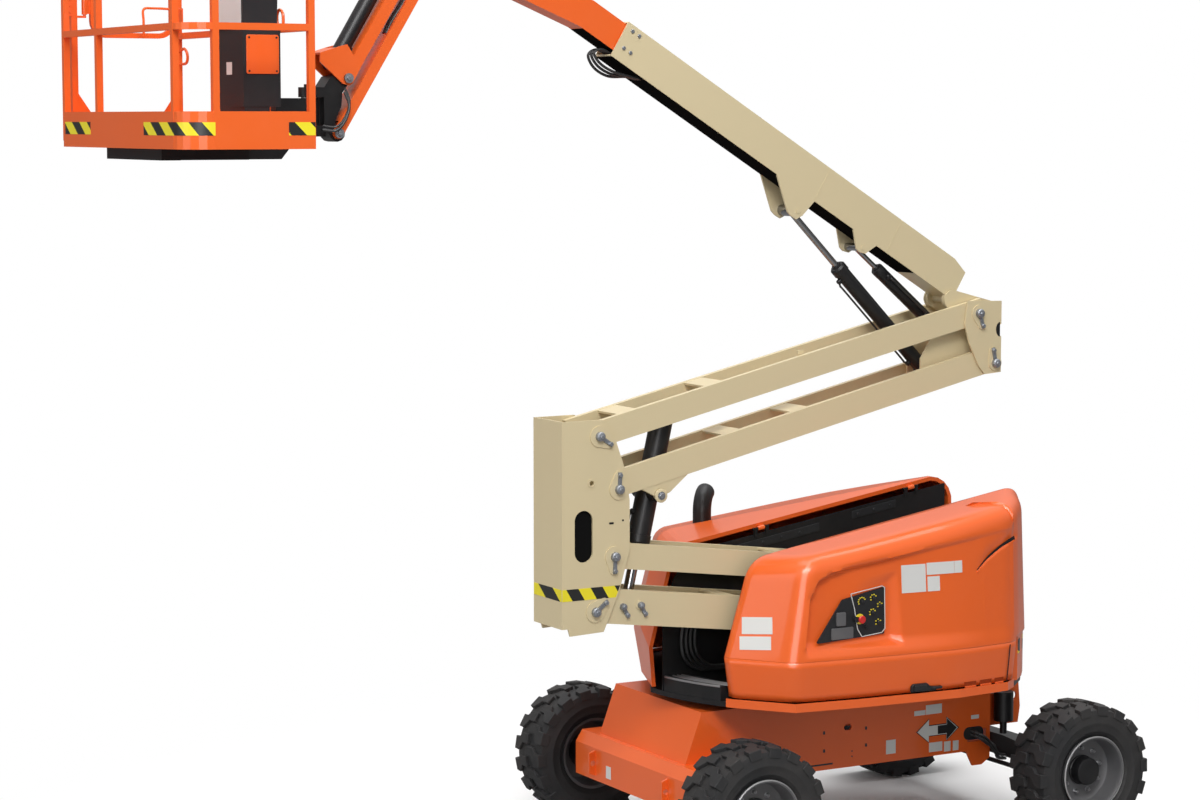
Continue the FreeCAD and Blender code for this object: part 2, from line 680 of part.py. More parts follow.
def ground_controls():
    """Control plate at the bottom of the near hood's pocket, with its stop button."""
    outline = tangent_hull([(x, z, 8) for x, z in ((-721, 1358), (-556, 1583), (-270, 1636), (-274, 1378))])
    plate = prism_y(outline, CONTROLS_Y - 8, CONTROLS_Y)
    return join([plate, rod_y(-471, 1471, CONTROLS_Y - 30, CONTROLS_Y - 7, 17)])


def hoods():
    save("hood_near", hood(-1))
    save("ground_controls", ground_controls())
    save("hood_far", hood(1).cut(rod_z(*EXHAUST_XY, 1400, 2200, EXHAUST_R + SEAT)))


# ---------------------------------------------------------------- tower
def beam_pair(line, length, low, high, cross):
    """Two rectangular tubes side by side, closed by cross plates at stations cross."""
    outer = line.bar(-45, length + 45, low, high, on_boom(-ARM_OUT), on_boom(-ARM_IN))
    wall = 6.0
    inner = line.bar(-60, length + 60, low + wall, high - wall, on_boom(-ARM_OUT + wall),
                     on_boom(-ARM_IN - wall))
    tube = outer.cut(inner)
    bosses = []
    for s in (0.0, length):
        x, z = line.at(s, 0.0)
        bosses.append(rod_y(x, z, on_boom(-ARM_OUT), on_boom(-ARM_IN), 41))
    tube = join([tube] + bosses)
    for s in (0.0, length):
        x, z = line.at(s, 0.0)
        tube = tube.cut(rod_y(x, z, on_boom(-ARM_OUT - 1), on_boom(-ARM_IN + 1), PIN_R + 0.5))
    plates = [line.bar(s - 60, s + 60, high - 14, high - 2, on_boom(-ARM_IN - 2), on_boom(ARM_IN + 2))
              for s in cross]
    return join([tube, mirror_boom(tube)] + plates)


LOWER_TOP = Line(PIN_C, -LOWER_DEG)
LOWER_LOW = Line(PIN_D, -LOWER_DEG)
UPPER_TOP = Line(PIN_A, UPPER_DEG)
UPPER_LOW = Line(PIN_B, UPPER_DEG)


def lower_arms():
    save("lower_arm_top", beam_pair(LOWER_TOP, LOWER_LEN, -68, 78, (1200, 1900)))
    low = beam_pair(LOWER_LOW, LOWER_LEN, -65, 133, (900, 1700))
    head = rod_y(*TOWER_CYL[1], on_boom(-ARM_OUT - 4), on_boom(-ARM_IN), 26)
    save("lower_arm_low", join([low, head, mirror_boom(head)]))


def upper_arms():
    save("upper_arm_top", beam_pair(UPPER_TOP, UPPER_LEN, -65, 80, (230, 820)))
    low = beam_pair(UPPER_LOW, UPPER_LEN, -50, 100, (820, 1300))
    lug_outline = UPPER_LOW.outline([(150, -44), (480, -44), (330, -118), (250, -130)])
    lug = prism_y(lug_outline, on_boom(-ARM_OUT + 3), on_boom(-ARM_IN - 3))
    trunnion = rod_y(*TOWER_CYL[0], on_boom(-ARM_OUT - 4), on_boom(-ARM_IN + 38), 26)
    save("upper_arm_low", join([low, lug, mirror_boom(lug), trunnion, mirror_boom(trunnion)]))


def pin_pad(pin, toward, pin_r, keeper_r):
    """Drop-shaped pad round a pin; its point carries the pin's keeper, toward degrees away."""
    x, z = arm_end(pin, KEEPER_AWAY, toward)
    outline = tangent_hull([(pin[0], pin[1], pin_r), (x, z, keeper_r)])
    return prism_y(outline, on_boom(-PLATE_OUT - 6), on_boom(-PLATE_OUT + 1))


def upright():
    outline = [(-2152, 1487), (-2112, 1487), (-2100, 1445), (-1884, 1454), (-1781, 1685), (-1716, 1908),
               (-1716, 2192), (-1749, 2376), (-1807, 2538), (-1891, 2655), (-2152, 2654)]
    plate = prism_y(outline, on_boom(-PLATE_OUT), on_boom(-PLATE_OUT + PLATE_T))
    slot = prism_y(tangent_hull([(-2013, 1915, 58), (-2013, 2092, 58)]), on_boom(-200), on_boom(-100))
    hole = rod_y(-1963, 2302, on_boom(-200), on_boom(-100), 16)
    plate = plate.cut(slot).cut(hole)
    pads = [pin_pad(PIN_A, -32, 60, 32), pin_pad(PIN_B, 88, 60, 32), pin_pad(PIN_C, 268, 60, 32),
            pin_pad(PIN_D, 38, 60, 32)]
    side = join([plate] + pads)
    end = box(-2152, -2140, on_boom(-PLATE_OUT), on_boom(PLATE_OUT), 1487, 2654)
    pins = [rod_y(p[0], p[1], on_boom(-PLATE_OUT - 24), on_boom(PLATE_OUT + 24), PIN_R)
            for p in (PIN_A, PIN_B, PIN_C, PIN_D)]
    save("upright", join([side, mirror_boom(side), end] + pins))


def riser():
    outline = [(625, 3243), (608, 3100), (640, 2990), (712, 2850), (757, 2797), (878, 2806), (878, 3020),
               (850, 3045), (850, 3075), (878, 3100), (878, 3237)]
    plate = prism_y(outline, on_boom(-PLATE_OUT), on_boom(-PLATE_OUT + PLATE_T))
    pads = [pin_pad(PIN_K1, -72, 50, 28), pin_pad(PIN_K2, 103, 46, 28)]
    web = box(864, 878, on_boom(-PLATE_OUT), on_boom(PLATE_OUT), 3100, 3230)
    bracket_outline = [(350, 2770), (400, 2760), (800, 2780), (872, 2900), (872, 3170), (620, 3170),
                       (455, 3150),
                       (440, 3040), (350, 2900)]
    bracket = prism_y(bracket_outline, on_boom(-74), on_boom(-62))
    ear_outline = tangent_hull([(BOOM_PIVOT[0], BOOM_PIVOT[1], 58), (840, 3205, 30), (840, 3110, 30),
                                (600, 3200, 30)])
    ear = prism_y(ear_outline, on_boom(-EAR_IN - EAR_T), on_boom(-EAR_IN))
    pins = [rod_y(p[0], p[1], on_boom(-PLATE_OUT - 24), on_boom(PLATE_OUT + 24), PIN_R)
            for p in (PIN_K1, PIN_K2)]
    pivot = rod_y(*BOOM_PIVOT, on_boom(-EAR_IN - EAR_T), on_boom(EAR_IN + EAR_T), PIN_R)
    cyl_pins = [rod_y(p[0], p[1], on_boom(-78), on_boom(78), 22) for p in (LIFT_CYL[0], MASTER_CYL[0])]
    side = [join([plate] + pads), bracket, ear]
    save("riser", join(side + [mirror_boom(piece) for piece in side] + [web] + pins + [pivot] + cyl_pins))


def tower():
    lower_arms()
    upper_arms()
    upright()
    riser()


# ---------------------------------------------------------------- main boom and fly
BOOM = Line(BOOM_PIVOT, BOOM_DEG, to_minus_x=True)
BOOM_LOW, BOOM_HIGH = 3.0, 223.0      # underside and top from the pivot, across the boom
BOOM_TAIL, BOOM_FRONT = -7.0, 2753.0  # along the boom from the pivot
FLY_LOW, FLY_HIGH = 42.0, 209.0
FLY_HALF = 72.0
BEND_S = 2991.0


def local(line, point):
    dx, dz = point[0] - line.o[0], point[1] - line.o[1]
    return (dx * line.u[0] + dz * line.u[1], dx * line.n[0] + dz * line.n[1])


def wear_pads():
    """Pads inside the boom's mouth and at mid length that carry the fly."""
    pads = []
    for s0 in (1650.0, BOOM_FRONT - 150.0):
        s1 = s0 + 130
        pads.append(BOOM.bar(s0, s1, BOOM_LOW + 7, FLY_LOW - SEAT, on_boom(-50), on_boom(50)))
        pads.append(BOOM.bar(s0, s1, FLY_HIGH + SEAT, BOOM_HIGH - 7, on_boom(-50), on_boom(50)))
        side = BOOM.bar(s0, s1, FLY_LOW + 30, FLY_HIGH - 30, on_boom(FLY_HALF + SEAT),
                        on_boom(BOOM_HALF - 7))
        pads += [side, mirror_boom(side)]
    return pads


def boom_base():
    wall = 8.0
    profile = [(BOOM_TAIL, BOOM_LOW), (BOOM_FRONT, BOOM_LOW), (BOOM_FRONT, BOOM_HIGH), (106, BOOM_HIGH),
               (BOOM_TAIL, BOOM_HIGH - 32)]
    outer = prism_y(BOOM.outline(profile), on_boom(-BOOM_HALF), on_boom(BOOM_HALF))
    inner = BOOM.bar(120, BOOM_FRONT + 10, BOOM_LOW + wall, BOOM_HIGH - wall, on_boom(-BOOM_HALF + wall),
                     on_boom(BOOM_HALF - wall))
    tube = outer.cut(inner)
    s1, n1 = local(BOOM, LIFT_CYL[1])
    s2, n2 = local(BOOM, MASTER_CYL[1])
    lug_a = BOOM.outline([(s1 - 72, BOOM_LOW + 10), (s1 + 250, BOOM_LOW + 10), (s1 + 60, n1 - 42),
                          (s1 + 25, n1 - 50),
                          (s1 - 15, n1 - 48), (s1 - 40, n1 - 10)])
    lug_b = BOOM.outline([(s2 - 80, BOOM_LOW + 10), (s2 + 130, BOOM_LOW + 10), (s2 + 40, n2 - 30),
                          (s2 + 10, n2 - 36),
                          (s2 - 30, n2 - 24)])
    plates = [prism_y(o, on_boom(-BOOM_HALF), on_boom(-BOOM_HALF + 12)) for o in (lug_a, lug_b)]
    tail = rod_y(*BOOM_PIVOT, on_boom(-BOOM_HALF), on_boom(-BOOM_HALF + 20), 56)
    sides = plates + [tail]
    heads = [rod_y(*p[1], on_boom(-BOOM_HALF - 3), on_boom(-BOOM_HALF + 4), 16)
             for p in (LIFT_CYL, MASTER_CYL)]
    sides += heads
    body = join([tube] + sides + [mirror_boom(p) for p in sides] + wear_pads())
    bore = rod_y(*BOOM_PIVOT, on_boom(-BOOM_HALF - 1), on_boom(BOOM_HALF + 1), PIN_R + 0.5)
    save("boom_base", body.cut(bore))


def fly_boom():
    wall = 7.0
    outer = BOOM.bar(700, BEND_S, FLY_LOW, FLY_HIGH, on_boom(-FLY_HALF), on_boom(FLY_HALF))
    inner = BOOM.bar(690, BEND_S - 20, FLY_LOW + wall, FLY_HIGH - wall, on_boom(-FLY_HALF + wall),
                     on_boom(FLY_HALF - wall))
    corner = BOOM.at(BEND_S, FLY_HIGH)
    nose = Line(corner, NOSE_DEG, to_minus_x=True)
    tip = local(nose, NOSE_PIN)
    bottom = local(nose, BOOM.at(BEND_S, FLY_LOW))
    flat = nose.outline([(0, 0), (tip[0] - 60, 0), (tip[0] + 40, tip[1] + 50), (tip[0] + 56, tip[1]),
                         (tip[0] + 30, tip[1] - 55), (tip[0] - 80, bottom[1]), bottom])
    block = prism_y(flat, on_boom(-FLY_HALF), on_boom(FLY_HALF))
    room = prism_y(nose.outline([(30, -10), (tip[0] - 80, -10), (tip[0] + 80, 40), (tip[0] + 80, -200),
                                 (tip[0] - 90, bottom[1] + 10), (bottom[0] + 20, bottom[1] + 10)]),
                   on_boom(-FLY_HALF + 12), on_boom(FLY_HALF - 12))
    body = join([outer.cut(inner), block.cut(room)])
    bore = rod_y(*NOSE_PIN, on_boom(-FLY_HALF - 1), on_boom(FLY_HALF + 1), PIN_R + 0.5)
    anchor = rod_y(*NOSE_CYL[0], on_boom(-FLY_HALF + 2), on_boom(FLY_HALF - 2), 16)
    horn_outline = tangent_hull([(NOSE_CYL[0][0], NOSE_CYL[0][1], 26), (NOSE_CYL[0][0] + 40,
                                                                        NOSE_CYL[0][1] - 120, 40),
                                 (NOSE_CYL[0][0] - 60, NOSE_CYL[0][1] - 90, 30)])
    horn = prism_y(horn_outline, on_boom(-FLY_HALF), on_boom(-FLY_HALF + 12))
    save("fly_boom", join([body, horn, mirror_boom(horn), anchor]).cut(bore))


NOSE_CYL = ((-2010.0, 5085.0), (-2540.0, 5351.0))
JIB = Line(HEAD_TOP_PIN, JIB_DEG)
JIB_CYL = (JIB.at(35.0, 83.0), JIB.at(JIB_LEN + 150.0, 92.0))
LINK = Line(HEAD_LOW_PIN, JIB_DEG)
JIB_HALF = 80.0
FORK_T = 12.0
FORK_LEN = 75.0                 # from the head's pin to the solid part of the jib tube
HEAD_X0 = -3525.0               # back of the head casting
ROTATOR_R = 56.0
ROTATOR_PIN_R = 26.0
ROTATOR_Z0, ROTATOR_Z1 = 4300.0, 4440.0         # knuckle of the platform support


def nose_bracket():
    outline = tangent_hull([(*NOSE_PIN, 56), (*JIB_LOW_PIN, 40), (*JIB_TOP_PIN, 44), (*JIB_CYL[1], 34),
                            (*NOSE_CYL[1], 30)])
    y0 = JIB_HALF + GAP
    plate = prism_y(outline, on_boom(-y0 - 12), on_boom(-y0))
    pins = [rod_y(p[0], p[1], on_boom(-y0 - 20), on_boom(y0 + 20), PIN_R) for p in (NOSE_PIN, JIB_TOP_PIN)]
    pins.append(rod_y(*JIB_LOW_PIN, on_boom(-y0 - 14), on_boom(y0 + 14), 18))
    heads = [rod_y(*p, on_boom(-y0 - 16), on_boom(-y0 - 8), 18) for p in (JIB_CYL[1], NOSE_CYL[1])]
    save("nose_bracket", join([plate, mirror_boom(plate)] + pins + heads + [mirror_boom(h) for h in heads]))


def jib_tube():
    """Jib with a fork and an open box at its lower end, which hold the head and the cylinder."""
    wall = 6.0
    depth = 33.0
    outer = JIB.bar(FORK_LEN, JIB_LEN + 20, -depth, depth, on_boom(-JIB_HALF), on_boom(JIB_HALF))
    inner = JIB.bar(FORK_LEN + 12, JIB_LEN - 60, wall - depth, depth - wall, on_boom(-JIB_HALF + wall),
                    on_boom(JIB_HALF - wall))
    top_end = rod_y(*JIB.at(JIB_LEN, 0), on_boom(-JIB_HALF), on_boom(JIB_HALF), 40)
    side_outline = JIB.outline([(-40, 10), (-30, -26), (-8, -38), (20, -36), (FORK_LEN + 40, -depth),
                                (120, depth),
                                (150, 96), (118, 128), (30, 205), (-12, 180)])
    side = prism_y(side_outline, on_boom(-JIB_HALF), on_boom(-JIB_HALF + FORK_T))
    cap = prism_y(JIB.outline([(100, 143.8), (30, 205), (23, 197), (93, 136)]), on_boom(-JIB_HALF),
                  on_boom(JIB_HALF))
    body = join([outer.cut(inner), top_end, side, mirror_boom(side), cap])
    for s in (0, JIB_LEN):
        body = body.cut(rod_y(*JIB.at(s, 0), on_boom(-JIB_HALF - 1), on_boom(JIB_HALF + 1), PIN_R + 0.5))
    pin = rod_y(*JIB_CYL[0], on_boom(-JIB_HALF), on_boom(JIB_HALF), 16)
    save("jib_tube", join([body, pin]))


def jib_link():
    """Levelling link: a flat tube with a fork at its lower end."""
    wall = 6.0
    depth = 29.0
    start = FORK_LEN - 15
    outer = LINK.bar(start, JIB_LEN + 10, -depth, depth, on_boom(-JIB_HALF), on_boom(JIB_HALF))
    inner = LINK.bar(start + 12, JIB_LEN - 50, wall - depth, depth - wall, on_boom(-JIB_HALF + wall),
                     on_boom(JIB_HALF - wall))
    top_end = rod_y(*LINK.at(JIB_LEN, 0), on_boom(-JIB_HALF), on_boom(JIB_HALF), 32)
    fork_outline = tangent_hull([(*LINK.at(0, 0), 30), (*LINK.at(start + 30, 0), depth - 1)])
    fork = prism_y(fork_outline, on_boom(-JIB_HALF), on_boom(-JIB_HALF + FORK_T))
    body = join([outer.cut(inner), top_end, fork, mirror_boom(fork)])
    for s in (0, JIB_LEN):
        body = body.cut(rod_y(*LINK.at(s, 0), on_boom(-JIB_HALF - 1), on_boom(JIB_HALF + 1), 18.5))
    save("jib_link", body)


def around(pin, points):
    return [(pin[0] + x, pin[1] + z) for x, z in points]


def platform_head():
    """Levelling casting between the forks of the jib and its link, with the rotator's bearings."""
    half = JIB_HALF - FORK_T - GAP
    back = HEAD_X0
    (tx, tz), (lx, lz) = HEAD_TOP_PIN, HEAD_LOW_PIN
    outline = around(HEAD_TOP_PIN, arc(34, 110, -75, 6))
    outline += [(tx - 25, tz - 76), (tx - 32, tz - 146), (lx - 5, lz + 80), (lx - 12, lz + 55)]
    outline += around(HEAD_LOW_PIN, arc(45, 100, -150, 8))
    outline += [(back + 20, lz + 6), (back, lz + 40), (back, tz - 50), (back + 40, tz + 8)]
    casting = prism_y(outline, on_boom(-half), on_boom(half))
    pin_out = JIB_HALF + 14
    pins = [rod_y(*HEAD_TOP_PIN, on_boom(-pin_out), on_boom(pin_out), PIN_R),
            rod_y(*HEAD_LOW_PIN, on_boom(-pin_out), on_boom(pin_out), 18)]
    bearings = []
    for z0, z1 in ((ROTATOR_Z0 - 62, ROTATOR_Z0 - GAP), (ROTATOR_Z1 + GAP, ROTATOR_Z1 + 58)):
        bearings += [rod_z(ROTATOR_X, BOOM_Y, z0, z1, ROTATOR_R),
                     box(ROTATOR_X, back + 10, on_boom(-half), on_boom(half), z0, z1)]
    bearings.append(rod_z(ROTATOR_X, BOOM_Y, ROTATOR_Z0 - 70, ROTATOR_Z1 + 74, ROTATOR_PIN_R))
    save("platform_head", join([casting] + bearings + pins))


def boom():
    boom_base()
    fly_boom()
    nose_bracket()
    jib_tube()
    jib_link()
    platform_head()


# ---------------------------------------------------------------- cylinders
def cylinder_pieces(name, pins, radii, back, reach, rod_len, barrel_eye, rod_eye):
    """Barrel on its pin and the rod that slides in it.

    back and reach are the barrel's lengths behind and ahead of its pin.  The rod's eye carries
    its own pin, which ends SEAT short of the lugs beside it, because this pivot is left open.
    barrel_eye is (half width, pin radius), rod_eye is (half width, outer radius).
    """
    barrel_pin, rod_pin = pins
    barrel_r, rod_r = radii
    total = math.hypot(rod_pin[0] - barrel_pin[0], rod_pin[1] - barrel_pin[1])
    u = ((rod_pin[0] - barrel_pin[0]) / total, (rod_pin[1] - barrel_pin[1]) / total)

    def at(t):
        return (barrel_pin[0] + u[0] * t, BOOM_Y, barrel_pin[1] + u[1] * t)

    barrel = rod(at(-back), at(reach), barrel_r)
    inside = 60 if back < 100 else -back + 24
    barrel = barrel.cut(rod(at(inside), at(reach - 30), barrel_r - 8))
    barrel = barrel.cut(rod(at(inside), at(reach + 1), rod_r + SEAT))
    half, pin_r = barrel_eye
    barrel = join([barrel, rod_y(*barrel_pin, on_boom(-half), on_boom(half), pin_r + 14)])
    if back < 100:
        barrel = barrel.cut(rod_y(*barrel_pin, on_boom(-half - 80), on_boom(half + 80), pin_r + SEAT))
    else:
        barrel = barrel.cut(rod(at(-back + 24), at(reach - 30), barrel_r - 8))
        for a, b in ((-half - 1, -half + 36), (half - 36, half + 1)):
            barrel = barrel.cut(rod_y(*barrel_pin, on_boom(a), on_boom(b), pin_r + SEAT))
    stick = rod(at(total - rod_len), at(total), rod_r)
    piston = rod(at(total - rod_len), at(total - rod_len + 30), barrel_r - 8 - SEAT)
    eye = rod_y(*rod_pin, on_boom(-rod_eye[0]), on_boom(rod_eye[0]), rod_eye[1])
    save(name + "_barrel", barrel)
    save(name + "_rod", join([stick, piston, eye]))


def cylinders():
    lug_in = BOOM_HALF - 12 - SEAT
    nose_in = JIB_HALF + GAP - SEAT
    cylinder_pieces("tower_cylinder", TOWER_CYL, (66, 30), 470, 290, 940, (ARM_IN - 4, 26),
                    (ARM_IN - SEAT, 36))
    cylinder_pieces("lift_cylinder", LIFT_CYL, (44, 19), 16, 905, 860, (60, 22), (lug_in, 34))
    cylinder_pieces("master_cylinder", MASTER_CYL, (38, 15), 16, 555, 540, (60, 22), (lug_in, 22))
    cylinder_pieces("nose_cylinder", NOSE_CYL, (32, 14), 14, 375, 415, (55, 16), (nose_in, 26))
    cylinder_pieces("jib_cylinder", JIB_CYL, (44, 20), 16, 880, 860, (68, 16), (nose_in, 28))


# ---------------------------------------------------------------- platform
def rounded_plan(inset, steps=6):
    """Platform outline in plan: the two outer corners are rounded, the near one widely."""
    x0, x1 = PLAT_X0 + inset, PLAT_X1 - inset
    y0, y1 = BOOM_Y - PLAT_HALF + inset, BOOM_Y + PLAT_HALF - inset
    points = []
    for big_r, sy, a0 in ((PLAT_CORNER_R, 1, 270), (PLAT_FAR_R, -1, 180)):
        r = big_r - inset
        cx = x0 + r
        cy = y0 + r if sy > 0 else y1 - r
        for i in range(steps + 1):
            a = math.radians(a0 - 90.0 * i / steps)
            points.append((cx + r * math.cos(a), cy + r * math.sin(a)))
    return points + [(x1, y1), (x1, y0)]


def rail_ring(z):
    """Rail all round at height z, open at the gate."""
    r = RAIL_R
    ring = prism_z(rounded_plan(0), z - r, z + r).cut(prism_z(rounded_plan(2 * r), z - r - 1, z + r + 1))
    return ring.cut(box(PLAT_X0 + PLAT_FAR_R, PLAT_X1 - 2 * r, PLAT_Y1 - 2 * r - 1, PLAT_Y1 + 1, z - 40,
                        z + 40))


def platform_basket():
    r = RAIL_R
    toe = prism_z(rounded_plan(0), TOE_Z0, TOE_Z1).cut(prism_z(rounded_plan(4), FLOOR_Z, TOE_Z1 + 1))
    pieces = [toe, rail_ring(MID_RAIL_Z), rail_ring(TOP_RAIL_Z)]
    x0, x1 = PLAT_X0 + r, PLAT_X1 - r
    y0, y1 = PLAT_Y0 + r, PLAT_Y1 - r
    posts = [(x0, y1 - PLAT_FAR_R + r), (x0, BOOM_Y + 340), (x0, y0 + 150), (x0 + 150, y0), (x1, y0),
             (x1, BOOM_Y - 330), (x1, BOOM_Y + 330), (x1, y1)]
    for x, y in posts:
        pieces.append(box(x - r, x + r, y - r, y + r, FLOOR_Z, TOP_RAIL_Z))
    gate_post = PLAT_X0 + PLAT_FAR_R + r
    pieces.append(box(gate_post - r, gate_post + r, y1 - r, y1 + r, FLOOR_Z, TOP_RAIL_Z + r))
    for x, side in ((gate_post + r, 1), (x1 - r, -1)):
        gusset = [(x, TOE_Z1 - 4), (x + side * 75, TOE_Z1 - 4), (x, TOE_Z1 + 105)]
        pieces.append(prism_y(gusset, y1 - 4, y1 + 4))
    for z in HINGE_Z:
        pieces += [rod_z(GATE_X, y1, z - 62, z + 62, GATE_PIN_R)]
        pieces += [box(gate_post, GATE_X + GATE_PIN_R, y1 - 5, y1 + 5, a, a + 12) for a in (z - 62, z + 50)]
    return join(pieces)


def platform_gate():
    """Entry gate in the far side: a bent tube frame that swings inwards on two hinges."""
    r = GATE_TUBE_R
    x0, x1 = GATE_X + 30, PLAT_X1 - 2 * RAIL_R - GAP
    z0, z1 = MID_RAIL_Z - r, TOP_RAIL_Z + r
    y = PLAT_Y1 - RAIL_R
    bend = 90.0

    def loop(inset):
        c = bend - inset
        return tangent_hull([(x, z, c) for x in (x0 + bend, x1 - bend) for z in (z0 + bend, z1 - bend)], 6)

    frame = prism_y(loop(0), y - r, y + r).cut(prism_y(loop(2 * r), y - r - 1, y + r + 1))
    pieces = [frame]
    bores = []
    for z in HINGE_Z:
        pieces += [rod_z(GATE_X, y, z - 44, z + 44, GATE_PIN_R + 7),
                   box(GATE_X, x0 + r, y - 5, y + 5, z - 40, z + 40)]
        bores.append(rod_z(GATE_X, y, z - 70, z + 70, GATE_PIN_R + SEAT))
    body = join(pieces)
    for bore in bores:
        body = body.cut(bore)
    return body


def platform_support():
    """Beams under the floor, with the arm that rises to the rotator."""
    low, top = TOE_Z0 - 62, TOE_Z0 - SEAT
    arm_x0, arm_x1 = PLAT_X1 + 150, ROTATOR_X - 135
    arm = prism_y([(PLAT_X1 - 60, low), (arm_x1 - 50, low), (arm_x1, low + 60), (arm_x1, ROTATOR_Z1),
                   (arm_x0, ROTATOR_Z1),
                   (arm_x0, top), (PLAT_X1 - 60, top)], on_boom(-60), on_boom(60))
    beams = [box(PLAT_X0 + 140, PLAT_X1 - 40, on_boom(-150), on_boom(150), low, top),
             box(PLAT_X0 + 140, PLAT_X0 + 242, on_boom(-230), on_boom(580), low, top)]
    knuckle = [rod_z(ROTATOR_X, BOOM_Y, ROTATOR_Z0, ROTATOR_Z1, ROTATOR_R - 4),
               box(arm_x1 - 10, ROTATOR_X, on_boom(-50), on_boom(50), ROTATOR_Z0, ROTATOR_Z1)]
    bore = rod_z(ROTATOR_X, BOOM_Y, TOE_Z0, TOP_RAIL_Z, ROTATOR_PIN_R + SEAT)
    return join([arm] + beams + knuckle).cut(bore)


def control_console():
    """Tall control box with a lower case and a side case against the inner rails."""
    back = PLAT_X1 - 2 * RAIL_R - SEAT
    front = back - CONSOLE_DEPTH
    near, far = on_boom(-560), on_boom(-165)
    side_low = MID_RAIL_Z - 390
    case = prism_x([(near + 4, TOE_Z1 - 30), (far - 70, TOE_Z1 - 30), (far, MID_RAIL_Z - 200),
                    (far, MID_RAIL_Z - 90),
                    (far - 20, MID_RAIL_Z), (near + 4, MID_RAIL_Z)], front + 8, back - 60)
    side_case = box(front, back, near, near + 150, side_low, MID_RAIL_Z)
    tall = prism_y([(front, MID_RAIL_Z - SEAT), (back - 18, MID_RAIL_Z - SEAT), (back - 4, TOP_RAIL_Z - 60),
                    (front + 60, TOP_RAIL_Z + 10), (front, TOP_RAIL_Z - 20)], near, far)
    return join([case, side_case, tall])


def platform():
    save("platform_basket", platform_basket())
    save("platform_gate", platform_gate())
    save("platform_support", platform_support())
    save("control_console", control_console())


os.makedirs("parts", exist_ok=True)
wheels()
chassis()
turntable()
hoods()
tower()
boom()
cylinders()
platform()
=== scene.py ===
# %% [markdown]
# # An articulating boom lift, dressed for a studio picture
# The machine's frame, with every joint, is already modelled.  This notebook gives it its looks:
# paint, rubber and steel as shader nodes, and fuller forms computed as numpy surfaces.  Units are
# metres, +Z is up, +X runs to the steered axle, the platform hangs out towards -X and the ground
# controls are on the -Y side.

# %% Load the frame
import json
import math
import bpy
import numpy as np
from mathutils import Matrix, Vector
from mathutils.bvhtree import BVHTree


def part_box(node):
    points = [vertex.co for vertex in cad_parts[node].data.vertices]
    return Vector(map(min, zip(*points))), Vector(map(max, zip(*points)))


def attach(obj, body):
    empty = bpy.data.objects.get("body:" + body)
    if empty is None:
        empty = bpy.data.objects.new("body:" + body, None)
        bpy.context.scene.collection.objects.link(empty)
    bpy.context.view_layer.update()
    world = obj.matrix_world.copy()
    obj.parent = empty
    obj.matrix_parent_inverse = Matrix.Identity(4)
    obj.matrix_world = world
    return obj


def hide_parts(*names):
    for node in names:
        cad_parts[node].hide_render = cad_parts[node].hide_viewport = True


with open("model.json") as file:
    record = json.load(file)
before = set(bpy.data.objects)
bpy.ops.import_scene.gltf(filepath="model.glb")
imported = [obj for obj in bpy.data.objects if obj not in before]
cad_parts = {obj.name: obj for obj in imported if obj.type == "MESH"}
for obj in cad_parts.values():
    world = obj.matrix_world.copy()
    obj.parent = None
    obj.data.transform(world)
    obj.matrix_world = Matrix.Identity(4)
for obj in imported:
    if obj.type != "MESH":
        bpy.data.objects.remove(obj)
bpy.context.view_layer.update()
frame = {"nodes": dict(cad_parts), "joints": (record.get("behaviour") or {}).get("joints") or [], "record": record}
nodes = frame["nodes"]
joint_of = {joint["name"]: joint for joint in frame["joints"]}
scene = bpy.context.scene
BOOM_Y = -0.370
SIDES = (("near", -1), ("far", 1))


def added(name, data):
    """New object in the scene."""
    obj = bpy.data.objects.new(name, data)
    scene.collection.objects.link(obj)
    return obj


# %% [markdown]
# ## Camera
# A long lens from the platform's near corner, a little above shoulder height of the deck.  The
# lens is given in millimetres for a 36 mm sensor, and the camera only turns about the vertical
# and dips, so upright edges stay upright.

# %% Camera
camera_data = bpy.data.cameras.new("studio_camera")
camera_data.sensor_width = 36.0
camera_data.lens = 86.735
camera_data.clip_end = 200.0
camera = added("studio_camera", camera_data)
camera.location = (-9.805, -14.539, 4.332)
camera.rotation_euler = (math.radians(84.443), 0.0, math.radians(-29.421))
scene.camera = camera
scene.view_settings.view_transform = "Standard"

# %% [markdown]
# ## Studio
# Paint shows its shape through what it reflects, so the room is one pale world with three large
# soft lamps.  The world's colour is split by ray: what the camera sees is white, what lights the
# object is a plainer grey, and what gloss reflects is a sky that brightens upwards with one
# upright strip of light behind the camera.

# %% World and lamps
world = bpy.data.worlds.new("studio_world")
scene.world = world
world.use_nodes = True
wt = world.node_tree
wt.nodes.clear()


def node(tree, kind, **settings):
    """Add a shader node and set its attributes or named inputs."""
    made = tree.nodes.new(kind)
    for key, value in settings.items():
        if hasattr(made, key):
            setattr(made, key, value)
        else:
            made.inputs[key.replace("_", " ")].default_value = value
    return made


def link(tree, source, target):
    tree.links.new(source, target)


def fed(tree, kind, *sources, **settings):
    """Shader node whose first inputs take, in turn, the given sockets or plain values."""
    made = node(tree, kind, **settings)
    for k, source in enumerate(sources):
        if isinstance(source, bpy.types.NodeSocket):
            link(tree, source, made.inputs[k])
        else:
            made.inputs[k].default_value = source
    return made


FILL, SKY_LOW, SKY_HIGH, STRIP = 0.48, 0.14, 0.95, 8.0
STRIP_WAY = (-0.56, -0.83, 0.0)
WHITE = (1, 1, 1, 1)


def ramp(tree, value, low, high, to_low=0.0, to_high=1.0):
    """Smooth step from to_low at low to to_high at high."""
    made = fed(tree, "ShaderNodeMapRange", value, low, high, to_low, to_high, interpolation_type="SMOOTHSTEP")
    return made.outputs["Result"]


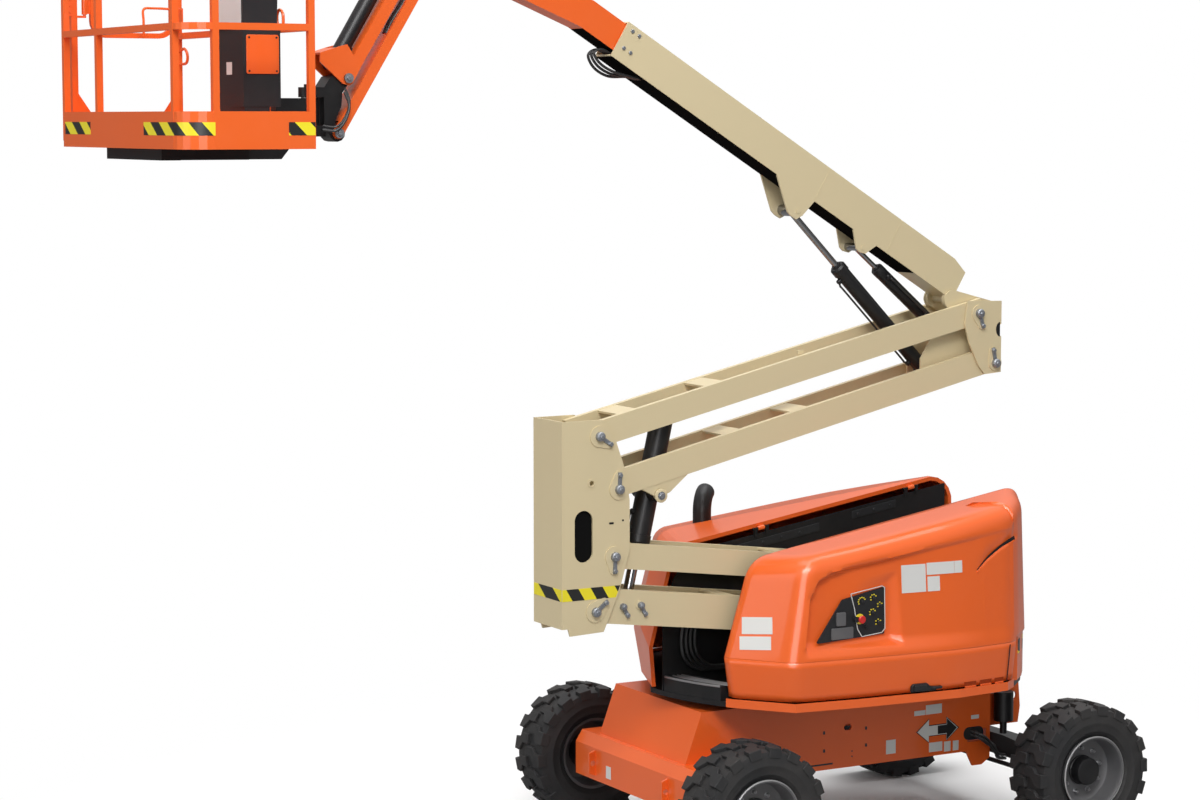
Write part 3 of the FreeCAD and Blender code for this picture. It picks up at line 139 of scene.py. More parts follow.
ray = node(wt, "ShaderNodeLightPath").outputs
toward = node(wt, "ShaderNodeTexCoord").outputs["Generated"]
height = fed(wt, "ShaderNodeSeparateXYZ", toward).outputs["Z"]
sky = ramp(wt, height, 0.0, 0.62, SKY_LOW, SKY_HIGH)
level = fed(wt, "ShaderNodeVectorMath", toward, (1, 1, 0), operation="MULTIPLY")
level_unit = fed(wt, "ShaderNodeVectorMath", level.outputs[0], operation="NORMALIZE")
facing = fed(wt, "ShaderNodeVectorMath", level_unit.outputs[0], STRIP_WAY, operation="DOT_PRODUCT")
strip_light = ramp(wt, facing.outputs["Value"], 0.972, 0.990, 0.0, STRIP)
above_floor = fed(wt, "ShaderNodeMath", strip_light, ramp(wt, height, -0.10, 0.02), operation="MULTIPLY")
both = fed(wt, "ShaderNodeMath", sky, above_floor.outputs[0], operation="ADD")
white, fill, mirrored = (fed(wt, "ShaderNodeBackground", WHITE, strength).outputs[0]
                         for strength in (1.0, FILL, both.outputs[0]))
seen = fed(wt, "ShaderNodeMath", ray["Is Camera Ray"], ray["Is Transmission Ray"], operation="MAXIMUM")
pick = fed(wt, "ShaderNodeMixShader", seen.outputs[0], fill, white)
pick_gloss = fed(wt, "ShaderNodeMixShader", ray["Is Glossy Ray"], pick.outputs[0], mirrored)
link(wt, pick_gloss.outputs[0], node(wt, "ShaderNodeOutputWorld").inputs["Surface"])


def area_lamp(name, place, aim, size, energy):
    data = bpy.data.lights.new(name, "AREA")
    data.shape = "RECTANGLE"
    data.size, data.size_y = size
    data.energy = energy
    lamp = added(name, data)
    lamp.location = place
    look = np.array(aim, float) - np.array(place, float)
    lamp.rotation_euler = Vector(look).to_track_quat("-Z", "Y").to_euler()


area_lamp("key", (-6.0, -9.0, 11.0), (-1.0, 0.0, 2.2), (7.0, 4.0), 1040.0)
area_lamp("side", (-13.0, -1.0, 6.0), (-1.0, 0.0, 2.4), (6.0, 6.0), 230.0)
area_lamp("overhead", (0.0, 1.0, 12.0), (0.0, 0.0, 0.0), (9.0, 7.0), 780.0)

# %% Floor
FLOOR_HALF, FADE_FROM, FADE_TO = 60.0, 1.9, 5.2
floor_mesh = bpy.data.meshes.new("floor")
floor_mesh.from_pydata([(x * FLOOR_HALF, y * FLOOR_HALF, 0) for x, y in ((-1, -1), (1, -1), (1, 1), (-1, 1))],
                       [], [(0, 1, 2, 3)])
added("floor", floor_mesh)

# %% [markdown]
# ## Paint and its wear
# One group gives all painted metal its small faults: slow waves in the film, and grime that
# gathers in patches.  Each paint sets its own amounts.

# %% Shared shader groups


def shader_group(name, inputs, outputs):
    """An empty node group with named sockets; inputs are (name, type, default)."""
    tree = bpy.data.node_groups.new(name, "ShaderNodeTree")
    for title, kind, default in inputs:
        socket = tree.interface.new_socket(title, in_out="INPUT", socket_type=kind)
        socket.default_value = default
    for title, kind in outputs:
        tree.interface.new_socket(title, in_out="OUTPUT", socket_type=kind)
    return tree, tree.nodes.new("NodeGroupInput"), tree.nodes.new("NodeGroupOutput")


film, film_in, film_out = shader_group(
    "paint_film",
    [("Colour", "NodeSocketColor", (0.8, 0.2, 0.05, 1)), ("Dust", "NodeSocketFloat", 0.1),
     ("Rough", "NodeSocketFloat", 0.3)],
    [("Colour", "NodeSocketColor"), ("Roughness", "NodeSocketFloat"), ("Height", "NodeSocketFloat")])
place = node(film, "ShaderNodeTexCoord").outputs["Object"]
cloud = fed(film, "ShaderNodeTexNoise", place, Scale=3.1, Detail=5.0, Roughness=0.6).outputs["Fac"]
fine = fed(film, "ShaderNodeTexNoise", place, Scale=420.0, Detail=2.0).outputs["Fac"]
spread = fed(film, "ShaderNodeMapRange", cloud, 0.42, 0.78).outputs["Result"]
amount = fed(film, "ShaderNodeMath", spread, film_in.outputs["Dust"], operation="MULTIPLY").outputs[0]
grimy = node(film, "ShaderNodeMix", data_type="RGBA")
grimy.inputs["B"].default_value = (0.46, 0.41, 0.36, 1)
link(film, amount, grimy.inputs["Factor"])
link(film, film_in.outputs["Colour"], grimy.inputs["A"])
rough = fed(film, "ShaderNodeMath", cloud, 0.12, film_in.outputs["Rough"], operation="MULTIPLY_ADD")
rough = rough.outputs[0]
for source, target in ((grimy.outputs["Result"], "Colour"), (rough, "Roughness"), (fine, "Height")):
    link(film, source, film_out.inputs[target])


def new_material(name):
    """A material, its tree and the sockets of its main shader."""
    mat = bpy.data.materials.new(name)
    mat.use_nodes = True
    return mat, mat.node_tree, mat.node_tree.nodes["Principled BSDF"].inputs


def painted(name, colour, rough, dust, coat, bump=0.02, metallic=0.0, gloss=0.5):
    """Painted metal: base coat under a clear coat, with dust and a faint orange-peel relief."""
    mat, tree, shader = new_material(name)
    group = node(tree, "ShaderNodeGroup", node_tree=film)
    for socket, value in (("Colour", (*colour, 1)), ("Dust", dust), ("Rough", rough)):
        group.inputs[socket].default_value = value
    link(tree, group.outputs["Colour"], shader["Base Color"])
    link(tree, group.outputs["Roughness"], shader["Roughness"])
    relief = node(tree, "ShaderNodeBump", Strength=bump, Distance=0.002)
    link(tree, group.outputs["Height"], relief.inputs["Height"])
    link(tree, relief.outputs["Normal"], shader["Normal"])
    for socket, value in (("Coat Weight", coat), ("Coat Roughness", 0.08), ("Metallic", metallic),
                          ("Specular IOR Level", gloss)):
        shader[socket].default_value = value
    return mat


# %% Finishes
ORANGE = painted("orange_paint", (0.84, 0.130, 0.018), rough=0.30, dust=0.02, coat=0.40, gloss=0.28)
CREAM = painted("cream_paint", (0.66, 0.555, 0.345), rough=0.36, dust=0.02, coat=0.15, gloss=0.35)
BLACK = painted("black_paint", (0.010, 0.010, 0.011), rough=0.36, dust=0.02, coat=0.04, gloss=0.25)
GREY = painted("rim_grey", (0.10, 0.10, 0.105), rough=0.4, dust=0.08, coat=0.1)
RUBBER = painted("tyre_rubber", (0.015, 0.015, 0.016), rough=0.62, dust=0.05, coat=0.0, bump=0.25, gloss=0.35)
CHROME = painted("rod_chrome", (0.30, 0.30, 0.31), rough=0.12, dust=0.0, coat=0.0, metallic=1.0)
STEEL = painted("bearing_steel", (0.30, 0.30, 0.31), rough=0.35, dust=0.05, coat=0.0, metallic=1.0)
BARE = painted("bare_lip", (0.42, 0.42, 0.42), rough=0.38, dust=0.05, coat=0.0, metallic=1.0)
PLASTIC = painted("black_plastic", (0.014, 0.015, 0.017), rough=0.42, dust=0.02, coat=0.0, bump=0.1,
                  gloss=0.3)
finish_of = {"orange_paint": ORANGE, "cream_paint": CREAM, "black_paint": BLACK, "rim_grey": GREY,
             "tyre_rubber": RUBBER, "rod_chrome": CHROME, "bearing_steel": STEEL, "black_plastic": PLASTIC}
for part in frame["record"]["subparts"]:
    shown = nodes[part["node"]]
    shown.data.materials.clear()
    shown.data.materials.append(finish_of[part["material_slot"]])

# Folded and welded plate has no knife edges, so the big plate parts get a small bevel.
SOFT_EDGES = {0.003: ("upright", "riser", "upper_arm_top", "upper_arm_low", "lower_arm_top", "lower_arm_low",
                      "boom_base", "fly_boom", "link_tower", "chassis_frame", "jib_tube"),
              0.006: ("counterweight", "hood_far")}


def soften(obj, name, width, angle):
    """Bevel every edge sharper than the angle, in degrees."""
    soft = obj.modifiers.new(name, "BEVEL")
    soft.width, soft.segments = width, 2
    soft.limit_method, soft.angle_limit = "ANGLE", math.radians(angle)
    soft.harden_normals = True


for width, names in SOFT_EDGES.items():
    for name in names:
        soften(nodes[name], "soft_edge", width, 50)

floor_mat, ft, floor_shader = new_material("studio_floor")
floor_shader["Base Color"].default_value = (0.95, 0.95, 0.95, 1)
floor_shader["Roughness"].default_value = 0.8
bounce = node(ft, "ShaderNodeBsdfDiffuse", Color=(0.38, 0.38, 0.38, 1))
glow = node(ft, "ShaderNodeEmission", Color=WHITE, Strength=1.0)
spot = node(ft, "ShaderNodeTexCoord").outputs["Object"]
away = fed(ft, "ShaderNodeVectorMath", spot, operation="LENGTH").outputs["Value"]
matt = ft.nodes["Principled BSDF"].outputs[0]
faded = fed(ft, "ShaderNodeMixShader", ramp(ft, away, FADE_FROM, FADE_TO), matt, glow.outputs[0])
camera_ray = node(ft, "ShaderNodeLightPath").outputs["Is Camera Ray"]
by_ray = fed(ft, "ShaderNodeMixShader", camera_ray, bounce.outputs[0], faded.outputs[0])
link(ft, by_ray.outputs[0], ft.nodes["Material Output"].inputs["Surface"])
floor_mesh.materials.append(floor_mat)

# %% [markdown]
# ## Tools for surfaces
# Every new piece below is worked out with numpy.  Most are one of four things: a profile turned
# about an axis, a circle carried along a path, an outline pushed straight out of a plane, or many
# small studs set in one go.  Each function gives points and faces, and `piece` puts any number of
# them into one object that rides on a body of the frame.

# %% Turned shapes


def unit(v):
    v = np.asarray(v, float)
    return v / np.linalg.norm(v)


def across(axis):
    """Two unit directions that make a right-handed set with the axis."""
    axis = unit(axis)
    helper = np.array([0.0, 0.0, 1.0]) if abs(axis[2]) < 0.9 else np.array([1.0, 0.0, 0.0])
    first = unit(np.cross(helper, axis))
    return first, np.cross(axis, first)


def grid_faces(rows, columns, wrap_rows=False, wrap_columns=True):
    """Quads of a grid whose point (i, j) has number i * columns + j."""
    i = np.arange(rows if wrap_rows else rows - 1)
    j = np.arange(columns if wrap_columns else columns - 1)
    i, j = (k.ravel() for k in np.meshgrid(i, j, indexing="ij"))
    i2, j2 = (i + 1) % rows, (j + 1) % columns
    return np.stack([i * columns + j, i * columns + j2, i2 * columns + j2, i2 * columns + j], axis=1).tolist()


def end_caps(rows, sides):
    """Flat faces over the first and last ring of a grid of rings."""
    return [list(range(sides))[::-1], list(range((rows - 1) * sides, rows * sides))]


def prism_faces(n):
    """Faces of a prism: n points of the foot, then the same n of the top."""
    j = np.arange(n)
    walls = np.stack([j, (j + 1) % n, (j + 1) % n + n, j + n], axis=1)
    return [j[::-1].tolist(), (j + n).tolist()] + walls.tolist()


def circle(sides, u, v):
    """Unit circle in the plane of two directions, one row for each point."""
    a = np.linspace(0, 2 * np.pi, sides, endpoint=False)
    return np.cos(a)[:, None] * u + np.sin(a)[:, None] * v


def turned(profile, centre, axis, sides, closed=False):
    """Profile (radius, along) turned about the axis: centre + along * axis + radius * (cos a, sin a).

    An open profile starts and ends on the axis or is closed by flat ends."""
    profile = np.asarray(profile, float)
    ring = circle(sides, *across(axis))
    points = (np.asarray(centre, float) + profile[:, 1][:, None, None] * unit(axis)
              + profile[:, 0][:, None, None] * ring[None])
    faces = grid_faces(len(profile), sides, wrap_rows=closed)
    return points.reshape(-1, 3), faces if closed else faces + end_caps(len(profile), sides)


def headings(path):
    """Unit direction of travel at each point of a path."""
    ahead = np.gradient(path, axis=0)
    return ahead / np.linalg.norm(ahead, axis=1)[:, None]


def lengths_along(path):
    """Distance from the start of a path to each of its points."""
    return np.cumsum(np.r_[0, np.linalg.norm(np.diff(path, axis=0), axis=1)])


def tube(path, radius, sides):
    """Circle carried along a path; its frame is turned as little as possible from point to point."""
    path = np.asarray(path, float)
    ahead = headings(path)
    u = across(ahead[0])[0]
    us = []
    for t in ahead:
        u = unit(u - t * np.dot(u, t))
        us.append(u)
    us = np.array(us)
    vs = np.cross(ahead, us)
    a = np.linspace(0, 2 * np.pi, sides, endpoint=False)
    radius = np.broadcast_to(radius, (len(path),))[:, None, None]
    ring = np.cos(a)[None, :, None] * us[:, None] + np.sin(a)[None, :, None] * vs[:, None]
    points = path[:, None] + radius * ring
    return points.reshape(-1, 3), grid_faces(len(path), sides) + end_caps(len(path), sides)


def smooth_path(points, steps):
    """Catmull-Rom curve through the points: each span is the cubic set by its neighbours' chords."""
    p = np.asarray(points, float)
    p = np.vstack([2 * p[0] - p[1], p, 2 * p[-1] - p[-2]])
    t = np.linspace(0, 1, steps, endpoint=False)[:, None]
    spans = [0.5 * (2 * b + (c - a) * t + (2 * a - 5 * b + 4 * c - d) * t ** 2
                    + (3 * b - a - 3 * c + d) * t ** 3) for a, b, c, d in zip(p, p[1:], p[2:], p[3:])]
    return np.vstack(spans + [p[-2][None]])


# %% Flat shapes and studs


def slab(outline, origin, along, up, depth):
    """Outline (a, b) set at origin + a * along + b * up and pushed out by depth along their normal."""
    outline = np.asarray(outline, float)
    along, up = unit(along), np.asarray(up, float)
    up = unit(up - along * np.dot(up, along))
    out = np.cross(along, up)
    base = np.asarray(origin, float) + outline[:, :1] * along + outline[:, 1:] * up
    area = np.sum(outline[:, 0] * np.roll(outline[:, 1], -1) - np.roll(outline[:, 0], -1) * outline[:, 1])
    points = np.vstack([base, base + depth * out])
    faces = prism_faces(len(outline))
    if area * depth < 0:
        faces = [f[::-1] for f in faces]
    return points, faces


def block(low, high):
    """Box between two corners."""
    (x0, y0, z0), (x1, y1, z1) = low, high
    return slab([(x0, y0), (x1, y0), (x1, y1), (x0, y1)], (0, 0, z0), (1, 0, 0), (0, 1, 0), z1 - z0)


def at(outline, x, z):
    return [(x + a, z + b) for a, b in outline]


def rounded(width, height, radius, x, z, steps=5):
    """Rectangle about the point (x, z) with corner arcs."""
    a = np.radians(np.linspace(0, 90, steps + 1))
    corners = []
    for k, (sx, sy) in enumerate(((1, 1), (-1, 1), (-1, -1), (1, -1))):
        turn = a + k * np.pi / 2
        centre = np.array([sx * (width / 2 - radius), sy * (height / 2 - radius)])
        corners.append(centre + radius * np.stack([np.cos(turn), np.sin(turn)], axis=1))
    return at(np.vstack(corners), x, z)


def studs(centres, axis, radius, height, sides=6):
    """Prisms of the given side count standing on each centre: hexagon heads, rivets or washers."""
    centres = np.asarray(centres, float)
    ring = radius * circle(sides, *across(axis))
    shape = np.vstack([ring, ring + 0.82 * height * unit(axis), 0.86 * ring + height * unit(axis)])
    one = grid_faces(3, sides) + end_caps(3, sides)
    points = (centres[:, None] + shape[None]).reshape(-1, 3)
    faces = [[i + k * 3 * sides for i in f] for k in range(len(centres)) for f in one]
    return points, faces


# %% One object out of many shapes
SHARP = 34  # degrees; a flatter edge is shaded smooth


def piece(name, shapes, material, body, stands_for=(), bevel=0.0, flat=False):
    """Puts shapes into one mesh that rides on a body; bevel rounds its edges by that radius."""
    points, faces, start = [], [], 0
    for p, f in shapes:
        points.append(np.asarray(p, float))
        faces += [[i + start for i in face] for face in f]
        start += len(p)
    mesh = bpy.data.meshes.new(name)
    mesh.from_pydata(np.vstack(points).tolist(), [], faces)
    mesh.validate()
    mesh.materials.append(material)
    mesh.polygons.foreach_set("use_smooth", [not flat] * len(mesh.polygons))
    obj = added(name, mesh)
    if bevel:
        soften(obj, "edge", bevel, SHARP)
    elif not flat:
        mesh.set_sharp_from_angle(angle=math.radians(SHARP))
    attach(obj, body)
    if stands_for:
        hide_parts(*stands_for)
    return obj


# %% [markdown]
# ## Tyres
# Rough-ground tyres have a plain round carcass with two rows of thick rubber lugs that interlock at
# the middle, so that one row's gap meets the other row's lug.  A displacement map would smear their
# hard edges, so the carcass is a turned profile and each lug is its own stepped outline wrapped
# round the tread: (turn, width) becomes an angle and a place across the tyre.

# %% Tyre
TYRE_R, TYRE_HALF, LUGS = 0.4155, 0.158, 18
TREAD_R, SHOULDER_FOOT, FOOT_GROW = 0.391, 0.352, 1.09
SIDEWALL = [(0.2185, 0.122), (0.232, 0.130), (0.250, 0.142), (0.256, 0.148), (0.262, 0.1475), (0.300, 0.155),
            (0.304, 0.1575), (0.309, 0.1575), (0.313, 0.1555), (0.352, 0.155), (0.382, 0.146)]
LUG = [(-0.34, 1.0), (-0.34, 0.64), (-0.15, 0.48), (0.03, 0.36), (0.03, -0.05), (0.45, 0.02), (0.45, 0.50),
       (0.23, 0.66), (0.23, 1.0)]


def carcass():
    up = [(r, -w) for r, w in SIDEWALL]
    over = [(TREAD_R, -0.118), (TREAD_R + 0.002, -0.05), (TREAD_R + 0.002, 0.05), (TREAD_R, 0.118)]
    return up + over + SIDEWALL[::-1]


def tread_lugs(centre):
    """Both rows of lugs.  A corner (t, w) sits at angle (k + t) * pitch; its top radius falls a little
    to the shoulder and its foot follows the carcass, lower down beside the shoulder."""
    t, w = np.array(LUG).T
    pitch = 2 * np.pi / LUGS
    mid = 0.5 * (t.min() + t.max())
    top = TYRE_R - 0.007 * w ** 2
    foot = np.where(w > 0.9, SHOULDER_FOOT, TREAD_R - 0.006)
    shapes = []
    for side in (-1, 1):
        k = np.arange(LUGS)[:, None] + (0.5 if side > 0 else 0.0)
        rings = []
        for radius, grow, out in ((foot, FOOT_GROW, 0.0025), (top, 1.0, -0.004)):
            a = (k + mid + (t - mid) * grow) * pitch
            y = np.broadcast_to(side * (w * TYRE_HALF + out * (w > 0.9)), a.shape)
            rings.append(np.stack([radius * np.cos(a), y, -radius * np.sin(a)], axis=-1))
        faces = prism_faces(len(LUG))
        if side < 0:
            faces = [f[::-1] for f in faces]
        shapes += [(lug + centre, faces) for lug in np.concatenate(rings, axis=1)]
    return shapes


AXLE_X, TRACK_HALF, WHEEL_SIDES = 1.170, 0.975, 72
WHEELS = [("%s_%s" % (end, side), np.array([x, sign * TRACK_HALF, TYRE_R]), sign, end == "steer")
          for end, x in (("drive", -AXLE_X), ("steer", AXLE_X)) for side, sign in SIDES]
for tag, centre, sign, steered in WHEELS:
    piece("tread_" + tag, tread_lugs(centre), RUBBER, "wheel_" + tag, bevel=0.004)
    ring = turned(carcass(), centre, (0, 1, 0), WHEEL_SIDES, closed=True)
    piece("carcass_" + tag, [ring], RUBBER, "wheel_" + tag, stands_for=["tyre_" + tag])
print("tyre radius", TYRE_R, "lugs per row", LUGS)

# %% [markdown]
# ## Rims
# The rim is a deep dish: a rolled lip with a bare bright edge, a well, and a disc bolted to the hub.
# The steered wheels show a long hub cap, the driven ones a flat hub with its nuts.

# %% Rims and hubs
DISH = [(0.2225, -0.138), (0.217, -0.126), (0.217, 0.126), (0.222, 0.134), (0.2255, 0.142), (0.2255, 0.149),
        (0.2195, 0.1515), (0.212, 0.150), (0.2075, 0.143), (0.205, 0.120), (0.199, 0.060), (0.190, 0.038),
        (0.172, 0.027), (0.150, 0.024), (0.075, 0.020), (0.060, 0.020), (0.060, 0.004), (0.155, 0.006),
        (0.176, 0.012), (0.192, -0.020), (0.199, -0.100), (0.206, -0.134)]
LIP = [(0.2262, 0.1475), (0.2262, 0.1505), (0.2195, 0.1532), (0.2185, 0.1505)]
CAPS = {True: [(0.090, 0.018), (0.090, 0.030), (0.084, 0.034), (0.084, 0.086), (0.080, 0.096), (0.070, 0.101),
               (0.002, 0.102)],
        False: [(0.098, 0.018), (0.098, 0.034), (0.088, 0.040), (0.066, 0.041), (0.064, 0.047),
                (0.040, 0.049), (0.002, 0.049)]}
NUTS, NUT_TURN, NUT_CIRCLE = 9, 0.2, 0.135
for tag, centre, sign, steered in WHEELS:
    out = np.array([0.0, sign, 0.0])
    body = "wheel_" + tag
    piece("rim_dish_" + tag, [turned(DISH, centre, out, WHEEL_SIDES, closed=True)], GREY, body,
          stands_for=["rim_" + tag])
    piece("rim_lip_" + tag, [turned(LIP, centre, out, WHEEL_SIDES, closed=True)], BARE, body)
    piece("hub_cap_" + tag, [turned(CAPS[steered], centre, out, 48)], BLACK, body)
    a = np.linspace(0, 2 * np.pi, NUTS, endpoint=False) + NUT_TURN
    ring = centre + NUT_CIRCLE * np.stack([np.cos(a), 0 * a, np.sin(a)], axis=1) + 0.022 * out
    nuts = [studs(ring, out, 0.0155, 0.004, 16), studs(ring + 0.003 * out, out, 0.013, 0.017),
            studs(ring + 0.018 * out, out, 0.007, 0.010, 10)]
    piece("wheel_nuts_" + tag, nuts, STEEL, body, flat=True)

# %% [markdown]
# ## Plates, stripes and small parts
# A plate or sticker lies on a face that may lean any way, so it is given by its corners on that
# face and pushed out by its own thickness.  Striped tape is one shader group: the stripes are the
# fractional part of a slanted coordinate, cut at one half, so they run on round a corner.

# %% Plates and tape


SINK = 0.002  # how far a plate or a stripe reaches into the face below it
OUT = (0, -1, 0)  # the way a near wall faces


def leaf(corners, thick):
    """Flat plate over coplanar corners, counter-clockwise from outside; normal by Newell's sum."""
    c = np.asarray(corners, float)
    n = unit(np.sum(np.cross(c, np.roll(c, -1, 0)), axis=0))
    return np.vstack([c - SINK * n, c + thick * n]), prism_faces(len(c))


def facet(point, normal):
    """The face through a point, as a function of (x, z): y = y0 - (nx (x - x0) + nz (z - z0)) / ny."""
    p, n = np.asarray(point, float), np.asarray(normal, float)
    return lambda x, z: (x, p[1] - (n[0] * (x - p[0]) + n[2] * (z - p[2])) / n[1], z)


def facing_y(outline, y, thick, side=-1):
    """Outline (x, z) on a wall at y, pushed out along side."""
    if side < 0:
        return slab(outline, (0, y + SINK, 0), (1, 0, 0), (0, 0, 1), thick + SINK)
    return slab([(-x, z) for x, z in outline], (0, y - SINK, 0), (-1, 0, 0), (0, 0, 1), thick + SINK)


def facing_x(x, y0, y1, z0, z1, thick):
    """Upright rectangle on a wall at x, from y0 on the left to y1 on the right as seen from outside."""
    return leaf([(x, y0, z0), (x, y1, z0), (x, y1, z1), (x, y0, z1)], thick)


def rect(x0, x1, z0, z1):
    return [(x0, z0), (x1, z0), (x1, z1), (x0, z1)]


tape, tape_in, tape_out = shader_group(
    "warning_tape", [("Period", "NodeSocketFloat", 0.2), ("Slant", "NodeSocketFloat", 1.0),
                     ("Y Weight", "NodeSocketFloat", -1.0)],
    [("Colour", "NodeSocketColor")])
here = node(tape, "ShaderNodeTexCoord").outputs["Object"]
split = fed(tape, "ShaderNodeSeparateXYZ", here).outputs
run = fed(tape, "ShaderNodeMath", split["Y"], tape_in.outputs["Y Weight"], split["X"],
          operation="MULTIPLY_ADD")
lean = fed(tape, "ShaderNodeMath", split["Z"], tape_in.outputs["Slant"], run.outputs[0],
           operation="MULTIPLY_ADD")
turn = fed(tape, "ShaderNodeMath", lean.outputs[0], tape_in.outputs["Period"], operation="DIVIDE")
part_of = fed(tape, "ShaderNodeMath", turn.outputs[0], operation="FRACT")
half = fed(tape, "ShaderNodeMath", part_of.outputs[0], 0.5, operation="GREATER_THAN")
two = node(tape, "ShaderNodeMix", data_type="RGBA")
two.inputs["A"].default_value = (0.85, 0.73, 0.02, 1)
two.inputs["B"].default_value = (0.012, 0.012, 0.012, 1)
link(tape, half.outputs[0], two.inputs["Factor"])
link(tape, two.outputs["Result"], tape_out.inputs["Colour"])


def striped(name, period, slant, cross_period):
    """Yellow and black tape: stripe period along X, lean, and the period where it runs along Y."""
    mat, tree, shader = new_material(name)
    group = node(tree, "ShaderNodeGroup", node_tree=tape)
    for socket, value in (("Period", period), ("Slant", slant), ("Y Weight", -period / cross_period)):
        group.inputs[socket].default_value = value
    link(tree, group.outputs["Colour"], shader["Base Color"])
    shader["Roughness"].default_value = 0.4
    return mat


TAPE_TOE = striped("toe_board_tape", 0.165, 1.0, 0.235)
TAPE_UPRIGHT = striped("upright_tape", 0.155, 0.6, 0.340)
PLATE = painted("blank_plate", (0.70, 0.70, 0.68), rough=0.42, dust=0.05, coat=0.1)
RED = painted("stop_red", (0.62, 0.015, 0.012), rough=0.25, dust=0.0, coat=0.4)
YELLOW = painted("mark_yellow", (0.80, 0.66, 0.02), rough=0.4, dust=0.0, coat=0.1)
# Black rubber for the hoses; the same black is painted shade in the chassis holes.
HOSE_AND_HOLE_SHADE = painted("hose_rubber_and_hole_shade", (0.014, 0.014, 0.015), rough=0.38, dust=0.02, coat=0.1, bump=0.1)
# Darker orange: painted shade in the cover's rib slots.
SHADED_ORANGE = painted("orange_painted_shade", (0.30, 0.040, 0.008), rough=0.6, dust=0.0, coat=0.0, gloss=0.1)
# Black with no gloss: painted shade behind the upright's slot, and the boom's black undersides darkened as painted
# shade.
SHADE = painted("matt_black_and_painted_shade", (0.008, 0.008, 0.008), rough=0.85, dust=0.0, coat=0.0, gloss=0.0)
PIN = painted("zinc_pin", (0.26, 0.275, 0.30), rough=0.38, dust=0.05, coat=0.0, metallic=0.7)


def hose_run(points, radius=0.009, steps=8):
    return tube(smooth_path(points, steps), radius, 10)


def disc(radius, height, place, axis, sides, chamfer=None):
    """Low round head with a flat top; chamfer is (top radius, extra height)."""
    edge = [(radius, -0.001), (radius, height)]
    if chamfer:
        edge.append((chamfer[0], height + chamfer[1]))
    return turned(edge + [(0.002, edge[-1][1])], place, axis, sides)


def pin_set(x, z, y, toward, away, head, side=-1):
    """A pin's domed head, its keeper bar and the bolt that holds the bar, standing on a wall at y."""
    axis = np.array([0, side, 0])
    centre = np.array([x, y, z])
    dome = [(head, -SINK), (head, 0.020), (head * 0.8, 0.027), (head * 0.3, 0.030), (0.001, 0.030)]
    a = math.radians(toward)
    bar_way = np.array([math.cos(a), 0, math.sin(a)])
    end = centre + away * bar_way
    half_bar = 0.011 * np.array([-math.sin(a), 0, math.cos(a)])
    far_end = end + 0.016 * bar_way
    ring = [centre - half_bar, far_end - half_bar, far_end + half_bar, centre + half_bar]
    return [turned(dome, centre, axis, 24), leaf(ring if side < 0 else ring[::-1], 0.010),
            studs([end + 0.009 * axis], axis, 0.0135, 0.012),
            studs([centre + 0.026 * axis], axis, 0.012, 0.009)]


# %% [markdown]
# ## Chassis
# The side plates carry a travel arrow in white and black, blank plates, bolt holes and the port
# where the hoses leave for the steered axle.  The holes, a slot and the port are flat dark plates:
# painted shade in the openings.

# %% Chassis side
FRAME_SIDE = 0.500
ARROW_X, ARROW_Z, ARROW_L, ARROW_H = 0.465, 0.640, 0.143, 0.064


def double_arrow(grow, left):
    """Arrow outline about its middle, grown outwards; a missing half ends in a straight cut."""
    l, h, s, k = ARROW_L + 1.9 * grow, ARROW_H + 1.2 * grow, 0.026 + grow, 0.068 - 0.4 * grow
    half = [(0, -s), (k, -s), (k, -h), (l, 0), (k, h), (k, s), (0, s)]
    return at(half + ([(-a, b) for a, b in half[::-1]][1:-1] if left else []), ARROW_X, ARROW_Z)


def axle_hose(side, spread, drop):
    route = [(0.700 + spread, 0.470, 0.612), (0.735, 0.520 + 0.3 * spread, 0.600),
             (0.800, 0.545 - spread, 0.560), (0.880 + spread, 0.515 - spread, 0.490),
             (0.960, 0.470 - spread, 0.430), (1.050, 0.410 - 0.5 * spread, 0.405)]
    return hose_run([(x, side * y, z - drop) for x, y, z in route])


for side_name, side in SIDES:
    wall = side * FRAME_SIDE
    plates = [(0.085, 0.155, 0.530, 0.615), (0.290, 0.372, 0.742, 0.772), (0.376, 0.494, 0.742, 0.800),
              (0.715, 0.774, 0.680, 0.704), (0.402, 0.500, 0.508, 0.566), (0.514, 0.562, 0.500, 0.562),
              (0.580, 0.622, 0.500, 0.560)]
    leaves = [facing_y(rect(*p), wall, 0.0015, side) for p in plates]
    piece("blank_plates_" + side_name, leaves, PLATE, "chassis")
    # Dark flat plates for the holes, a slot and the hose port: painted shade in the openings.
    dark = [facing_y(rounded(0.014, 0.020, 0.003, x, z), wall, 0.0012, side)
            for x, z in ((-0.363, 0.708), (-0.062, 0.706), (-0.362, 0.599), (-0.061, 0.603))]
    dark += [facing_y(rounded(0.009, 0.009, 0.004, -0.162, z), wall, 0.0012, side)
             for z in (0.577, 0.545)]
    dark += [facing_y(rect(-0.460, -0.300, 0.512, 0.522), wall, 0.0012, side),
             facing_y(rounded(0.150, 0.080, 0.038, 0.735, 0.592), wall, 0.0012, side)]
    piece("frame_hole_shade_" + side_name, dark, HOSE_AND_HOLE_SHADE, "chassis")
    for name, grow, thick, material in (("edge", 0.009, 0.001, BLACK), ("field", 0.004, 0.002, PLATE),
                                        ("dark_half", 0.0, 0.003, BLACK)):
        arrow = double_arrow(grow, left=name != "dark_half")
        piece("arrow_%s_%s" % (name, side_name), [facing_y(arrow, wall, thick, side)], material, "chassis")
    hoses = [axle_hose(side, 0.013 * (k % 3), 0.022 * (k // 3)) for k in range(6)]
    piece("axle_hoses_" + side_name, hoses, HOSE_AND_HOLE_SHADE, "chassis")
print("chassis sides dressed")

# %% Drive beam
BEAM_FACE = -1.400
piece("beam_label", [facing_x(BEAM_FACE, 0.290, 0.232, 0.395, 0.470, 0.0015)], PLATE, "chassis")

